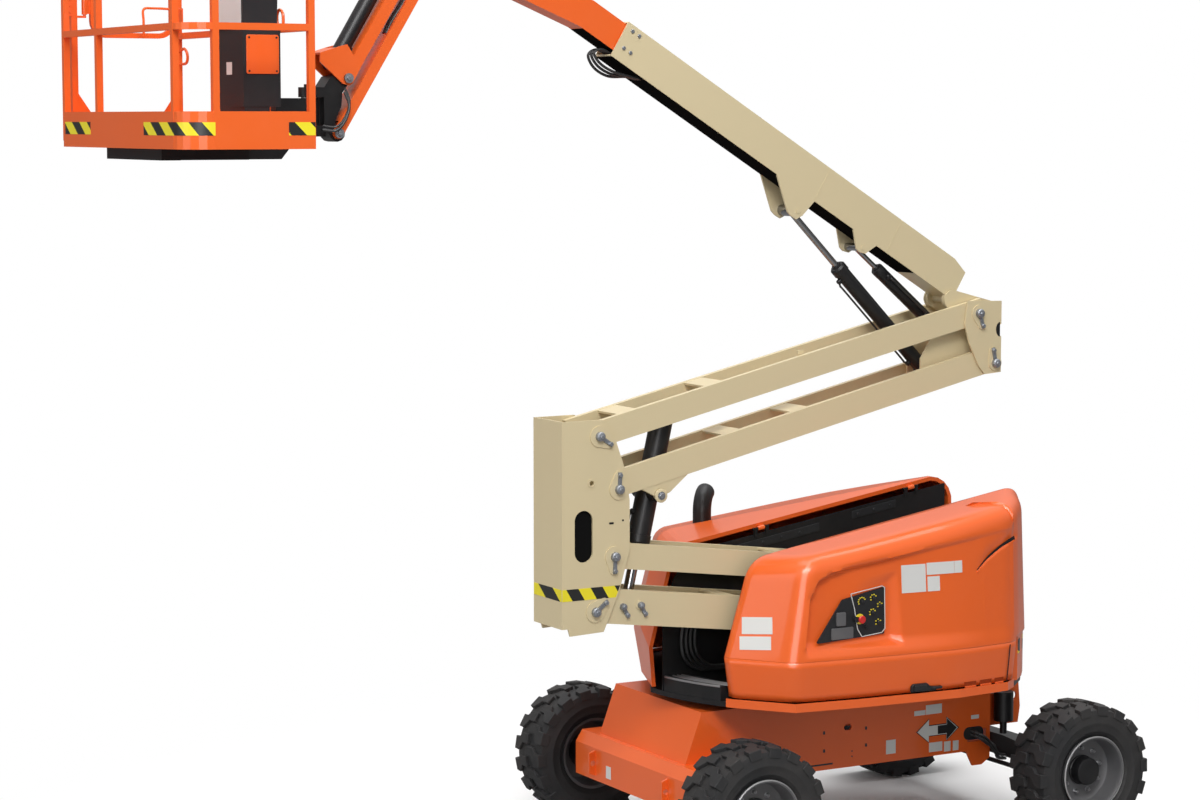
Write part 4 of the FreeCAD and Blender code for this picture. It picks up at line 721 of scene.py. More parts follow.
# %% [markdown]
# ## The near cover's skin
# The cover is one moulding: a wall that leans out to a crease at waist height and in above it, a
# soft shoulder, and a sloping roof.  Its plan outline is known at three heights, so the wall is a
# loft: every plan corner becomes a small parabola, and each column joins the same place on the
# three outlines.  The sunk side panel and the pocket round the controls are then pressed in as a
# smooth function of (x, z), and Solidify gives the moulding its thickness.

# %% Outline of the cover
SILL, WAIST, PLAN_Z, NOTCH_X, NOTCH_Z, INNER_Y = 1.018, 1.250, 2.250, 0.678, 1.270, -0.600
ROOF = ((-0.905, 1.815), (0.850, 2.100))
COVER_PLAN = {
    SILL: [(-1.091, .600), (-1.091, .660), (-.866, .945), (-.458, 1.000), (.217, 1.048), (.590, 1.012),
           (.700, .960), (.870, .800), (1.000, .600)],
    WAIST: [(-1.126, .600), (-1.126, .645), (-.887, .976), (-.458, 1.030), (.217, 1.078), (.600, 1.040),
            (.710, .965), (.885, .800), (1.030, .600)],
    PLAN_Z: [(-.820, .600), (-.820, .640), (-.735, .900), (-.458, .965), (.217, 1.010), (.600, .990),
             (.690, .945), (.840, .800), (.965, .600)]}
CORNER_CUT = [0, .020, .085, .090, .130, .060, .050, .070, 0]
STEPS = [2, 20, 50, 90, 44, 8, 10, 9]
SHOULDER_CUT, ROOF_INSET = 0.125, 0.30
SKIRT_ROWS, WALL_ROWS, SHOULDER_ROWS, ROOF_ROWS = 7, 86, 14, 9


def bend(a, b, c, t):
    """Parabola from a to c that leaves towards b: (1-t)^2 a + 2t(1-t) b + t^2 c."""
    return (1 - t) ** 2 * a + 2 * t * (1 - t) * b + t ** 2 * c


def rounded_outline(corners, cuts, steps):
    """Corner list with each corner cut back by its own length on both sides and bridged by a parabola."""
    p = np.asarray(corners, float)
    rows = [p[:1]]
    start = p[0]
    for k in range(1, len(p)):
        d = unit(p[k] - p[k - 1])
        end = p[k] - cuts[k] * d
        t = np.linspace(0, 1, steps[k - 1] + 1)[1:, None]
        rows.append(start + t * (end - start))
        if cuts[k]:
            start = p[k] + cuts[k] * unit(p[k + 1] - p[k])
            rows.append(bend(end, p[k], start, np.linspace(0, 1, 8)[1:, None]))
    return np.vstack(rows)


def roof_height(x):
    (xa, za), (xb, zb) = ROOF
    return za + (x - xa) * (zb - za) / (xb - xa)


def cover_wall():
    """Two grids: from the sill to the crease, then up the wall, round the shoulder and over the roof."""
    sill, waist, top = (rounded_outline(COVER_PLAN[z], CORNER_CUT, STEPS) for z in (SILL, WAIST, PLAN_Z))
    a, b, far = (np.column_stack([plan[:, 0], -plan[:, 1], np.full(len(plan), z)])
                 for plan, z in ((sill, SILL), (waist, WAIST), (top, PLAN_Z)))
    notched = b[:, 0] > NOTCH_X
    pitch = (ROOF[1][1] - ROOF[0][1]) / (ROOF[1][0] - ROOF[0][0])
    k = (roof_height(b[:, 0]) - WAIST) / ((PLAN_Z - WAIST) - (far[:, 0] - b[:, 0]) * pitch)
    edge = b + k[:, None] * (far - b)
    reach = lengths_along(edge)
    inner_x = edge[0, 0] + ROOF_INSET + (edge[-1, 0] - edge[0, 0] - 2 * ROOF_INSET) * reach / reach[-1]
    inner = np.column_stack([inner_x, np.full(len(b), INNER_Y), roof_height(inner_x)])
    span = np.linalg.norm(inner - edge, axis=1)
    cut = np.minimum(SHOULDER_CUT, 0.48 * span)[:, None]
    up, over = edge - b, inner - edge
    low = edge - cut * up / np.linalg.norm(up, axis=1)[:, None]
    high = edge + cut * over / np.maximum(span, 1e-6)[:, None]
    # Past the notch the cover ends above the crease, so the skirt shrinks to a hairline there.
    at_height = lambda z: b + (z - WAIST) / (PLAN_Z - WAIST) * (far - b)
    foot = np.where(notched[:, None], at_height(NOTCH_Z), a)
    crease = np.where(notched[:, None], at_height(NOTCH_Z + 0.002), b)
    t = lambda rows: np.linspace(0, 1, rows)[:, None, None]
    wall = crease + t(WALL_ROWS)[:-1] * (low - crease)
    shoulder = bend(low, edge, high, t(SHOULDER_ROWS))[:-1]
    roof = high + t(ROOF_ROWS) * (inner - high)
    return foot + t(SKIRT_ROWS) * (crease - foot), np.concatenate([wall, shoulder, roof], axis=0)


print("cover columns", len(rounded_outline(COVER_PLAN[SILL], CORNER_CUT, STEPS)))

# %% Sunk panel and pocket


def inside(corners, x, z, soft):
    """Depth inside a convex outline: a soft minimum of the distances to its edges."""
    c = np.asarray(corners, float)
    total = 0.0
    for (x0, z0), (x1, z1) in zip(c, np.roll(c, -1, 0)):
        n = unit((z1 - z0, x0 - x1))
        total = total + np.exp(-((x - x0) * -n[0] + (z - z0) * -n[1]) / soft)
    return -soft * np.log(total)


def ease(t):
    t = np.clip(t, 0, 1)
    return t * t * (3 - 2 * t)


SUNK = [(-0.830, 1.250), (0.640, 1.250), (0.640, 1.930), (0.560, 1.930), (-0.560, 1.776), (-0.720, 1.715),
        (-0.770, 1.600)]
MOUTH = [(-0.805, 1.312), (-0.160, 1.300), (-0.185, 1.735), (-0.620, 1.672)]
FLOOR = [(-0.752, 1.338), (-0.252, 1.358), (-0.250, 1.664), (-0.566, 1.602)]
POCKET_Y, PANEL_SHALLOW, PANEL_DEEPER, GROOVE_DEPTH = -0.9605, 0.008, 0.040, 0.016
SCOOP = np.array([(0.352, 1.700), (0.430, 1.762), (0.520, 1.812), (0.600, 1.846), (0.655, 1.866)])


def press_in(points):
    """Side panel, sunk deepest at the front and fading to the rear, then the pocket's flat floor."""
    p = points.copy()
    x, y, z = p[..., 0], p[..., 1], p[..., 2]
    side = (y < -0.86) & (z > WAIST)
    depth = PANEL_SHALLOW + PANEL_DEEPER * np.clip((0.40 - x) / 1.05, 0, 1) ** 0.8
    sunk = depth * ease(inside(SUNK, x, z, 0.008) / 0.022) * ease((z - 1.262) / 0.10)
    groove_z = np.interp(x, SCOOP[:, 0], SCOOP[:, 1])
    strength = np.interp(x, [0.33, 0.46, 0.66, 0.72], [0, 1, 1, 0])
    gap = z - groove_z
    groove = GROOVE_DEPTH * strength * np.exp(-(gap / np.where(gap > 0, 0.05, 0.009)) ** 2)
    y = np.where(side, y + sunk + groove, y)
    outer, core = inside(MOUTH, x, z, 0.008), inside(FLOOR, x, z, 0.006)
    slope = np.clip((outer + 0.002) / np.maximum(outer - core, 1e-4), 0, 1)
    blend = (0.35 * slope + 0.65 * ease(slope)) * (outer > -0.02)
    p[..., 1] = np.where(side, y + blend * np.maximum(POCKET_Y - y, 0), y)
    return p


skirt, above = cover_wall()
above = press_in(above)
shapes = [(g.reshape(-1, 3), grid_faces(*g.shape[:2], wrap_columns=False)) for g in (skirt, above)]
skin = piece("near_cover_skin", shapes, ORANGE, "hood_near", stands_for=["hood_near"])
skin.data.set_sharp_from_angle(angle=math.radians(60))
shell = skin.modifiers.new("shell", "SOLIDIFY")
shell.thickness, shell.offset = 0.016, -1.0
print("cover skin", *above.shape[:2])

cover_tree = BVHTree.FromPolygons(above.reshape(-1, 3).tolist(), shapes[1][1])


def draped(corners, toward):
    """Plate that lies on the cover: four corners, counter-clockwise from outside, are filled with a
    grid and every grid point is carried along `toward` until it meets the cover."""
    c = np.asarray(corners, float)
    r, k = 10, 6
    u, v = np.linspace(0, 1, r)[:, None, None], np.linspace(0, 1, k)[None, :, None]
    flat = (1 - u) * (1 - v) * c[0] + u * (1 - v) * c[1] + u * v * c[2] + (1 - u) * v * c[3]
    ahead = unit(toward)
    spots = [cover_tree.ray_cast(Vector(p - 0.4 * ahead), Vector(ahead))[0] for p in flat.reshape(-1, 3)]
    spots = np.array([list(s) for s in spots])
    n = len(spots)
    top = [f[::-1] for f in grid_faces(r, k, wrap_columns=False)]
    under = [[i + n for i in f[::-1]] for f in top]
    rim = [i * k for i in range(r)] + [(r - 1) * k + j for j in range(1, k)]
    rim += [i * k + k - 1 for i in range(r - 2, -1, -1)] + [j for j in range(k - 2, 0, -1)]
    sides = [[b, a, a + n, b + n] for a, b in zip(rim, rim[1:] + rim[:1])]
    return np.vstack([spots - 0.002 * ahead, spots + 0.004 * ahead]), top + under + sides


# %% [markdown]
# The real cover hangs on two knuckles under its inner edge, so short tubes stand there.

# %% Cover knuckles
KNUCKLE_AT, KNUCKLE_HALF, KNUCKLE_R = (-0.62, 0.47), 0.022, 0.014
hinge, hinge_way = np.array(joint_of["hood_near"]["pos_m"]), unit(joint_of["hood_near"]["axis"])
middles = [hinge + (x - hinge[0]) / hinge_way[0] * hinge_way for x in KNUCKLE_AT]
half_long = KNUCKLE_HALF * hinge_way
knuckles = [tube([m - half_long, m + half_long], KNUCKLE_R, 12) for m in middles]
piece("near_cover_knuckles", knuckles, ORANGE, "hood_near")

# %% [markdown]
# ## Covers
# The two covers are moulded shells.  Their blank plates, the ground control panel and the latches
# are separate parts riveted or stuck on, so each is set on the facet it belongs to.  The side of
# the near cover has three facets, given here as planes, and a place on one needs only x and z.

# %% Near cover
REAR_NORMAL = (0.099, -0.993, 0.068)
REAR_FACE = facet((0.243, -1.036, 1.687), REAR_NORMAL)
LOW_FACE = facet((-0.137, -1.029, 1.066), (-0.070, -0.989, -0.128))
LOW_REAR = facet((0.261, -1.045, 1.024), (0.095, -0.987, -0.128))


def set_on(face, outline, thick):
    return leaf([face(x, z) for x, z in outline], thick)


def strip(face_points, width, thick, normal):
    """Flat band of a given width along a line of points on a face; a width per point tapers it."""
    p = np.asarray(face_points, float)
    n = unit(normal)
    ahead = np.gradient(p, axis=0)
    sideways = np.cross(n, ahead)
    sideways /= np.linalg.norm(sideways, axis=1)[:, None]
    w = np.broadcast_to(width, (len(p),))[:, None] / 2
    a, b = p - w * sideways, p + w * sideways
    rows = np.stack([a - SINK * n, b - SINK * n, b + thick * n, a + thick * n], axis=1)
    return rows.reshape(-1, 3), grid_faces(len(p), 4) + end_caps(len(p), 4)


INWARD = (0.80, 0.60, 0.0)
front_plates = [draped(corners, INWARD) for corners in (
    [(-1.056, -0.682, 1.392), (-0.942, -0.833, 1.405), (-0.929, -0.811, 1.499), (-1.042, -0.660, 1.486)],
    [(-1.080, -0.694, 1.304), (-0.964, -0.848, 1.316), (-0.954, -0.832, 1.391), (-1.071, -0.677, 1.378)])]
side_plates = [draped([(x, -1.0, z) for x, z in rect(*p)], (0, 1, 0))
               for p in ((-0.163, -0.004, 1.600, 1.762), (0.004, 0.188, 1.696, 1.766),
                         (0.190, 0.244, 1.696, 1.766), (0.008, 0.088, 1.600, 1.686))]
piece("near_cover_plates", front_plates + side_plates, PLATE, "hood_near")

# A thin black band follows the scoop groove: painted shade in the crease.
scoop = np.array([REAR_FACE(x, z) for x, z in SCOOP])
widths = np.interp(np.linspace(0, 1, 21), [0, 0.5, 1], [0.004, 0.016, 0.022])
piece("near_cover_scoop", [strip(smooth_path(scoop, 5), widths, 0.0012, REAR_NORMAL)], BLACK, "hood_near")
lip_line = smooth_path(scoop - (0, 0, 0.017), 5)
piece("near_cover_scoop_lip", [strip(lip_line, 0.012, 0.005, REAR_NORMAL)], ORANGE, "hood_near", bevel=0.002)
RIBS = ((0.255, 0.345), (0.375, 0.465), (0.490, 0.560))
# The rib slots are flat plates of darker orange: painted shade in the recesses.
slots = [set_on(LOW_REAR, rect(x0, x1, 1.020, 1.046), 0.001) for x0, x1 in RIBS]
piece("near_cover_rib_slots", slots, SHADED_ORANGE, "hood_near")
lips = [set_on(LOW_REAR, rect(x0 + 0.004, x1, 1.012, 1.022), 0.006) for x0, x1 in RIBS]
piece("near_cover_rib_lips", lips, ORANGE, "hood_near", bevel=0.002)
seam = set_on(LOW_REAR, rect(0.588, 0.594, 1.020, 1.240), 0.001)
piece("near_cover_seam", [seam], BLACK, "hood_near")
cradle = [(-0.120, 1.022), (0.050, 1.022), (0.050, 1.046), (0.010, 1.050), (-0.014, 1.070), (-0.106, 1.070),
          (-0.120, 1.058)]
latch = [set_on(LOW_FACE, outline, thick) for outline, thick in (
    (cradle, 0.016), (rect(-0.104, -0.020, 1.028, 1.064), 0.026), (rect(0.012, 0.088, 1.032, 1.046), 0.022))]
piece("near_cover_latch", latch, PLASTIC, "hood_near", bevel=0.004)
print("near cover dressed")

# %% Ground control panel
PANEL_Y = -0.970


def on_panel(outline, thick):
    return facing_y(outline, PANEL_Y, thick)


edge = [(-0.502, 1.620), (-0.285, 1.650), (-0.268, 1.640), (-0.262, 1.400), (-0.285, 1.378), (-0.423, 1.366),
        (-0.454, 1.412), (-0.477, 1.535), (-0.502, 1.620)]
rim_line = [(x, PANEL_Y - 0.001, z) for x, z in edge]
outline_shapes = [strip([a, b], 0.0045, 0.001, OUT) for a, b in zip(rim_line, rim_line[1:])]
piece("panel_outline", outline_shapes, PLATE, "hood_near")
meter = [on_panel(rounded(0.062, 0.078, 0.006, -0.572, 1.480), 0.012),
         on_panel(rounded(0.150, 0.066, 0.006, -0.560, 1.396), 0.006)]
piece("panel_meter", meter, GREY, "hood_near", bevel=0.002)
stop = (-0.440, PANEL_Y, 1.470)
piece("stop_ring", [disc(0.030, 0.004, stop, OUT, 32, chamfer=(0.026, 0.002))], YELLOW, "hood_near")
mushroom = [(0.013, 0.0), (0.013, 0.020), (0.022, 0.022), (0.023, 0.030), (0.019, 0.035), (0.002, 0.036)]
piece("stop_button", [turned(mushroom, stop, OUT, 32)], RED, "hood_near")
DIALS = [(-0.425, 1.570, 0.024, 7), (-0.345, 1.585, 0.020, 5), (-0.350, 1.500, 0.020, 5),
         (-0.310, 1.440, 0.018, 4), (-0.300, 1.540, 0.016, 4)]
KNOB = [(0.009, -0.001), (0.009, 0.012), (0.007, 0.014), (0.001, 0.014)]
marks, knobs = [], []
for x, z, r, count in DIALS:
    for a in np.linspace(math.radians(30), math.radians(210), count):
        dash = rounded(0.010, 0.007, 0.003, x + r * math.cos(a), z + r * math.sin(a), 2)
        marks.append(on_panel(dash, 0.001))
    knobs.append(turned(KNOB, (x, PANEL_Y, z), OUT, 16))
piece("panel_marks", marks, YELLOW, "hood_near")
key = [(0.011, -0.001), (0.011, 0.010), (0.001, 0.010)]
knobs.append(turned(key, (-0.390, PANEL_Y, 1.420), OUT, 16))
piece("panel_switches", knobs, PLASTIC, "hood_near")
print("panel switches", len(knobs), "marks", len(marks))

# %% Counterweight tape
corner = [(0.752, -0.9085, 1.150), (0.890, -0.7705, 1.150), (0.890, -0.7705, 1.235), (0.752, -0.9085, 1.235)]
piece("counterweight_tape", [leaf(corner, 0.001)], TAPE_TOE, "turntable")

# %% [markdown]
# ## Boom well
# Between the covers the deck has a raised tread, hoses come down the far wall and turn in along the
# deck, and the far wall carries a bolted rail.  The exhaust pipe is a quarter bend: its centre line
# is base + R (1 - cos a) d + R sin a z, with d the way its mouth points.

# %% Well and exhaust
TREAD_EDGE_R, TREAD_TOP = 1.276, 1.075
FAR_WALL = -0.154
RIB_POINTS = 14
rib_y = np.linspace(-0.575, -0.165, RIB_POINTS)
edge_x = -np.sqrt(TREAD_EDGE_R ** 2 - rib_y ** 2)
ribs = [tube(np.column_stack([edge_x + back, rib_y, np.full(RIB_POINTS, TREAD_TOP)]), r, 8)
        for back, r in ((0.006, 0.008), (0.060, 0.006), (0.090, 0.006), (0.120, 0.006))]
piece("tread_ribs", ribs, STEEL, "turntable")
down = np.array([(x, -0.183, z) for x, z in (
    (-1.020, 1.500), (-1.130, 1.400), (-1.160, 1.290), (-1.140, 1.180), (-1.060, 1.110), (-0.940, 1.098),
    (-0.760, 1.098))])
drops = [hose_run(down + (0.030 * k, 0.0, 0.004 * k), 0.011) for k in range(4)]
piece("well_hoses", drops, HOSE_AND_HOLE_SHADE, "turntable")


def far_roof(x):
    """Height of the far cover's roof line at x."""
    return 1.854 + (x + 1.125) * 0.1598


def rail(x0, x1, drop, width):
    places = ((x0, width), (x1, width), (x1, 0), (x0, 0))
    return facing_y([(x, far_roof(x) - drop - low) for x, low in places], FAR_WALL, 0.005)


rails = [rail(-0.900, -0.180, 0.095, 0.050), rail(0.060, 0.380, 0.080, 0.045)]
bolt_at = [(x, FAR_WALL - 0.004, far_roof(x) - drop) for x, drop in
           [(x, 0.120) for x in np.arange(-0.84, -0.20, 0.13)] + [(x, 0.102) for x in (0.10, 0.22, 0.34)]]
piece("well_rails", rails, PLASTIC, "turntable", bevel=0.002)
piece("well_rail_bolts", [studs(bolt_at, OUT, 0.010, 0.007)], PLASTIC, "turntable")
PIPE_X, PIPE_Y, PIPE_R, BEND_R, BEND_Z = -0.727, 0.300, 0.056, 0.115, 1.958
a = np.radians(np.linspace(0, 78, 14))[:, None]
mouth_way, up = np.array([0.71, 0.71, 0.0]), np.array([0.0, 0.0, 1.0])
bent = np.array([PIPE_X, PIPE_Y, BEND_Z]) + BEND_R * ((1 - np.cos(a)) * mouth_way + np.sin(a) * up)
centre_line = np.vstack([[(PIPE_X, PIPE_Y, 1.830)], bent])
piece("exhaust_pipe", [tube(centre_line, PIPE_R, 32)], BLACK, "hood_far", stands_for=["exhaust_stack"])

# %% [markdown]
# ## Tower pins
# Every pivot of the folding tower is a pin with a round head; a short bar on the head is bolted to
# the plate, so that the pin can't turn.  One function sets head, bar and bolt at any pivot.

# %% Pins and keepers
PAD_OUT, ARM_OUT = 0.173, 0.150
KEEP, HEAD, SMALL_KEEP, SMALL_HEAD = 0.080, 0.027, 0.058, 0.020
BIG_PINS = {"upright": [(-1.913, 2.563, -34), (-1.788, 2.258, 88), (-1.815, 1.877, 268), (-1.939, 1.572, 38)],
            "riser": [(0.707, 3.167, -72), (0.832, 2.862, 103)]}
SMALL_PINS = [(-1.752, 1.584, -60), (-1.636, 1.584, -60)]
for body, rows in BIG_PINS.items():
    sets = [pin_set(x, z, BOOM_Y + side * PAD_OUT, toward, KEEP, HEAD, side)
            for x, z, toward in rows for side in (-1, 1)]
    piece("pins_" + body, sum(sets, []), PIN, body)
sets = [pin_set(x, z, BOOM_Y - ARM_OUT, toward, SMALL_KEEP, SMALL_HEAD) for x, z, toward in SMALL_PINS]
piece("pins_lower_arm_low", sum(sets, []), PIN, "lower_arm_low")
EYE_X, EYE_Z = -1.504, 2.202
piece("tower_cylinder_pin", [turned([(0.040, -0.002), (0.040, 0.005), (0.034, 0.008), (0.001, 0.008)],
                                    (EYE_X, BOOM_Y - 0.154, EYE_Z), OUT, 32)], CREAM, "upper_arm_low")
eye_bolt = [studs([(EYE_X, BOOM_Y - 0.160, EYE_Z)], OUT, 0.017, 0.012),
            disc(0.024, 0.003, (EYE_X, BOOM_Y - 0.161, EYE_Z), OUT, 24)]
piece("tower_cylinder_bolt", eye_bolt, PIN, "upper_arm_low")
print("pins", len(SMALL_PINS) + sum(len(rows) for rows in BIG_PINS.values()))

# %% Upright
WALL_OUT, TAPE_LOW, TAPE_HIGH = 0.167, 1.645, 1.712
front_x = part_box("upright")[0][0]


def both_sides(outlines, out=WALL_OUT):
    """Outlines (x, z) on the near and the far wall, each `out` from the boom's middle plane."""
    return [facing_y(o, BOOM_Y + side * out, 0.001, side) for side in (-1, 1) for o in outlines]


side_tape = [(front_x + 0.002, TAPE_LOW), (-1.806, TAPE_LOW), (-1.778, TAPE_HIGH),
             (front_x + 0.002, TAPE_HIGH)]
band = [facing_x(front_x, BOOM_Y + 0.163, BOOM_Y - 0.163, TAPE_LOW, TAPE_HIGH, 0.001)]
piece("upright_tape", band + both_sides([side_tape]), TAPE_UPRIGHT, "upright")
marks = both_sides([rounded(0.030, 0.012, 0.005, -1.835, 2.068),
                    rounded(0.012, 0.010, 0.004, -1.760, 2.080)])
piece("upright_marks", marks, BLACK, "upright")
boss = [(0.024, -0.001), (0.024, 0.004), (0.015, 0.004), (0.015, -0.001)]
ring = [turned(boss, (-1.963, BOOM_Y + s * WALL_OUT, 2.302), (0, s, 0), 28, closed=True) for s in (-1, 1)]
piece("upright_boss", ring, CREAM, "upright")
# A black sheet just inside each wall, behind the upright's slot: painted shade in the slot.
shade_sheet = both_sides([rounded(0.136, 0.314, 0.066, -2.013, 2.0035)], 0.150)
piece("upright_slot_shade_sheet", shade_sheet, SHADE, "upright")

# %% Arms and riser
tabs = [block((x - 0.020, BOOM_Y - 0.110, z - 0.004), (x + 0.020, BOOM_Y - 0.098, z + 0.022))
        for x, z in ((-0.531, 2.968), (-1.313, 2.750))]
piece("arm_hose_tabs", tabs, CREAM, "upper_arm_top", bevel=0.002)
bite = [(0.030 * math.cos(a), 0.044 * math.sin(a)) for a in np.linspace(math.pi / 2, 3 * math.pi / 2, 12)]
# A flat black half-oval on the riser's near wall: painted shade in its notch.
piece("riser_notch_shade", [facing_y(at(bite, 0.868, 3.065), BOOM_Y - 0.1665, 0.001)], BLACK, "riser")

# %% [markdown]
# ## Boom, jib and cylinders
# The joints of the frame already say where each cylinder turns and slides, so its gland, ports and
# hard line are placed along the joint's own axis.  That keeps them in line if the frame changes.

# %% Cylinders
BARRELS = {"tower": (0.066, -0.47, 0.290, 0.030, 0.005, -1), "lift": (0.044, 0.0, 0.905, 0.019, 0.005, 1),
           "master": (0.038, 0.0, 0.555, 0.015, 0.001, 0), "nose": (0.032, 0.0, 0.375, 0.014, 0.002, -1),
           "jib": (0.044, 0.0, 0.880, 0.020, 0.005, 1)}
for name, (barrel_r, back, reach, rod_r, collar, line_side) in BARRELS.items():
    pivot = np.array(joint_of[name + "_cylinder_swing"]["pos_m"])
    along = np.array(joint_of[name + "_cylinder_rod"]["axis"])
    out = np.cross((0, 1, 0), along)
    out = line_side * (out if out[2] < 0 else -out) if line_side else np.array([0.0, -1.0, 0.0])
    step, bore = barrel_r + collar, rod_r + 0.0006
    profile = [(barrel_r + 0.0005, -0.050), (step, -0.048), (step, -0.006), (barrel_r - 0.004, 0.004),
               (rod_r + 0.010, 0.006), (rod_r + 0.008, 0.016), (bore, 0.016), (bore, -0.010),
               (barrel_r + 0.0005, -0.012)]
    gland = turned(profile, pivot + reach * along, along, 36, closed=True)
    foot = pivot + (max(back, 0.05) + 0.07) * along
    port = foot + (barrel_r - 0.004) * out
    head = pivot + (reach - 0.075) * along + (barrel_r - 0.004) * out
    fitting = [(0.016, 0), (0.016, 0.020), (0.012, 0.024), (0.001, 0.024)]
    ports = [turned(fitting, p, out, 16) for p in (port, head)]
    piece(name + "_gland", [gland] + ports, BLACK, name + "_cylinder_barrel")
    line = [spot + up * out + on * along for spot, up, on in (
        (head, 0.014, -0.004), (head, 0.026, -0.030), (head, 0.024, -0.080),
        (port, 0.024, 0.080), (port, 0.026, 0.030), (port, 0.014, 0.004))]
    piece(name + "_hard_line", [hose_run(line, 0.006, 6)], HOSE_AND_HOLE_SHADE, name + "_cylinder_barrel")
print("cylinders dressed", len(BARRELS))

# %% Boom
S = np.array(joint_of["boom_extend"]["axis"])
N = np.array([S[2], 0.0, -S[0]])
PIVOT = np.array([0.555, BOOM_Y, 3.250])
BOOM_LOW, BOOM_MOUTH, BOOM_OUT = 0.003, 2.753, 0.092
FLY_LOW, FLY_BEND = 0.042, 2.991


def on_boom(s, n, y):
    """Place s along the boom from its pivot, n up from its axis and y across."""
    return PIVOT + s * S + n * N + np.array([0.0, y, 0.0])


def underside(start, end, low, half, thick):
    corners = ((start, -half), (end, -half), (end, half), (start, half))
    return leaf([on_boom(s, low, y) for s, y in corners], thick)


for tag, side in SIDES:
    bolts = [on_boom(s, n, side * BOOM_OUT) for n in (0.190, 0.080) for s in (2.705, 2.655)]
    piece("wear_pad_bolts_" + tag, [studs(bolts, (0, side, 0), 0.012, 0.008)], PIN, "boom")
# The boom's and the fly's undersides are a black guard, given no gloss so that they stay dark: partly painted
# shade.
piece("boom_underside", [underside(0.32, BOOM_MOUTH - 0.01, BOOM_LOW, 0.086, 0.003)], SHADE, "boom")
piece("fly_underside", [underside(1.15, FLY_BEND - 0.02, FLY_LOW, 0.068, 0.002)], SHADE, "fly")
loops = []
for k, y in enumerate((-0.045, -0.020, 0.010)):
    sag = [(2.50, 0.006), (2.56, -0.016), (2.66, -0.050 - 0.012 * k), (2.76, -0.058 - 0.012 * k),
           (2.83, -0.030 - 0.006 * k), (2.80, 0.014), (2.72, 0.026)]
    loops.append(hose_run([on_boom(s, n, y) for s, n in sag], 0.008))
piece("mouth_hoses", loops, HOSE_AND_HOLE_SHADE, "boom")
welds = [strip([on_boom(s, n, -0.0922) for n in (0.012, 0.214)], 0.005, 0.001, OUT)
         for s in (1.16, 0.56)]
piece("boom_welds", welds, CREAM, "boom")
print("boom length", BOOM_MOUTH)

# %% Jib and head
jib_top = np.array(joint_of["jib_lift"]["pos_m"])
head_top, head_low = np.array([-3.393, BOOM_Y, 4.546]), np.array([-3.450, BOOM_Y, 4.255])
PIN_OUT = 0.094
for name, place, body in (("jib_top_pin", jib_top, "nose_bracket"),
                          ("head_top_pin", head_top, "platform_head"),
                          ("head_low_pin", head_low, "platform_head")):
    shapes = []
    for side in (-1, 1):
        base = place + np.array([0, side * PIN_OUT, 0])
        shapes += [turned([(0.026, -0.004), (0.026, 0.004), (0.002, 0.004)], base, (0, side, 0), 28),
                   studs([base + np.array([0, side * 0.003, 0])], (0, side, 0), 0.014, 0.011)]
    piece(name + "_heads", shapes, PIN, body)
u = unit(jib_top - head_top)
v = np.array([-u[2], 0, u[0]])
under_jib = ((0.330, 0.078), (0.40, 0.071), (0.52, 0.076), (0.70, 0.070), (0.94, 0.078))
cable = [head_top + s * u - n * v for s, n in under_jib]
runs = [hose_run([p + np.array([0, y, 0]) for p in cable], 0.008) for y in (-0.048, -0.030, -0.012)]
piece("jib_hoses", runs, HOSE_AND_HOLE_SHADE, "jib")
turn_x, turn_y = joint_of["platform_turn"]["pos_m"][:2]
cap = [(0.042, -0.004), (0.042, 0.010), (0.036, 0.014), (0.002, 0.014)]
piece("rotator_cap", [turned(cap, (turn_x, turn_y, 4.440), (0, 0, 1), 32),
                      studs([(turn_x, turn_y, 4.452)], (0, 0, 1), 0.022, 0.018)], STEEL, "platform_head")
arc = [(-3.42, -0.462, 4.475), (-3.400, -0.478, 4.400), (-3.43, -0.486, 4.320), (-3.48, -0.480, 4.270),
       (-3.55, -0.465, 4.275)]
beside = [(x + 0.004, y + 0.004, z + 0.020) for x, y, z in arc]
piece("head_hoses", [hose_run(arc, 0.008), hose_run(beside, 0.006)], HOSE_AND_HOLE_SHADE, "platform_head")

# %% [markdown]
# ## Platform
# The basket's rounded corner carries striped tape that follows the toe board, so the tape is a
# ribbon along the board's own outline in plan.  The control box has a blank sheet for the load
# table, a plate with four screws and a small label.

# %% Toe-board tape
TOE_X0, TOE_X1, TOE_Y0, TOE_Y1, TOE_R = -4.642, -3.950, BOOM_Y - 0.915, BOOM_Y + 0.915, 0.160
TAPE_Z, TAPE_THICK, TAPE_ROWS = (4.250, 4.315), 0.0012, 40


def toe_path():
    """Outline of the toe board in plan from the far end, round the near corner to the boom side."""
    a = np.linspace(math.pi, 1.5 * math.pi, 9)
    corner = np.column_stack([TOE_X0 + TOE_R + TOE_R * np.cos(a), TOE_Y0 + TOE_R + TOE_R * np.sin(a)])
    return np.vstack([[(TOE_X0, TOE_Y1 - 0.08)], corner, [(TOE_X1, TOE_Y0)]])


def along_toe(start, end):
    """Ribbon on the toe board between two lengths along it."""
    path = toe_path()
    t = np.linspace(start, end, TAPE_ROWS)
    p = np.column_stack([np.interp(t, lengths_along(path), path[:, k]) for k in (0, 1)])
    ahead = headings(p)
    out = np.column_stack([ahead[:, 1], -ahead[:, 0]])
    inner, outer = p - SINK * out, p + TAPE_THICK * out
    section = ((inner, TAPE_Z[0]), (outer, TAPE_Z[0]), (outer, TAPE_Z[1]), (inner, TAPE_Z[1]))
    rows = np.stack([np.column_stack([q, np.full(len(q), z)]) for q, z in section], axis=1)
    return rows.reshape(-1, 3), [f[::-1] for f in grid_faces(TAPE_ROWS, 4) + end_caps(TAPE_ROWS, 4)]


length = float(lengths_along(toe_path())[-1])
spans = [(0.002, 0.40), (1.19, 1.84), (length - 0.145, length - 0.002)]
piece("toe_board_tape", [along_toe(*span) for span in spans], TAPE_TOE, "platform")
print("toe board length", round(length, 3))

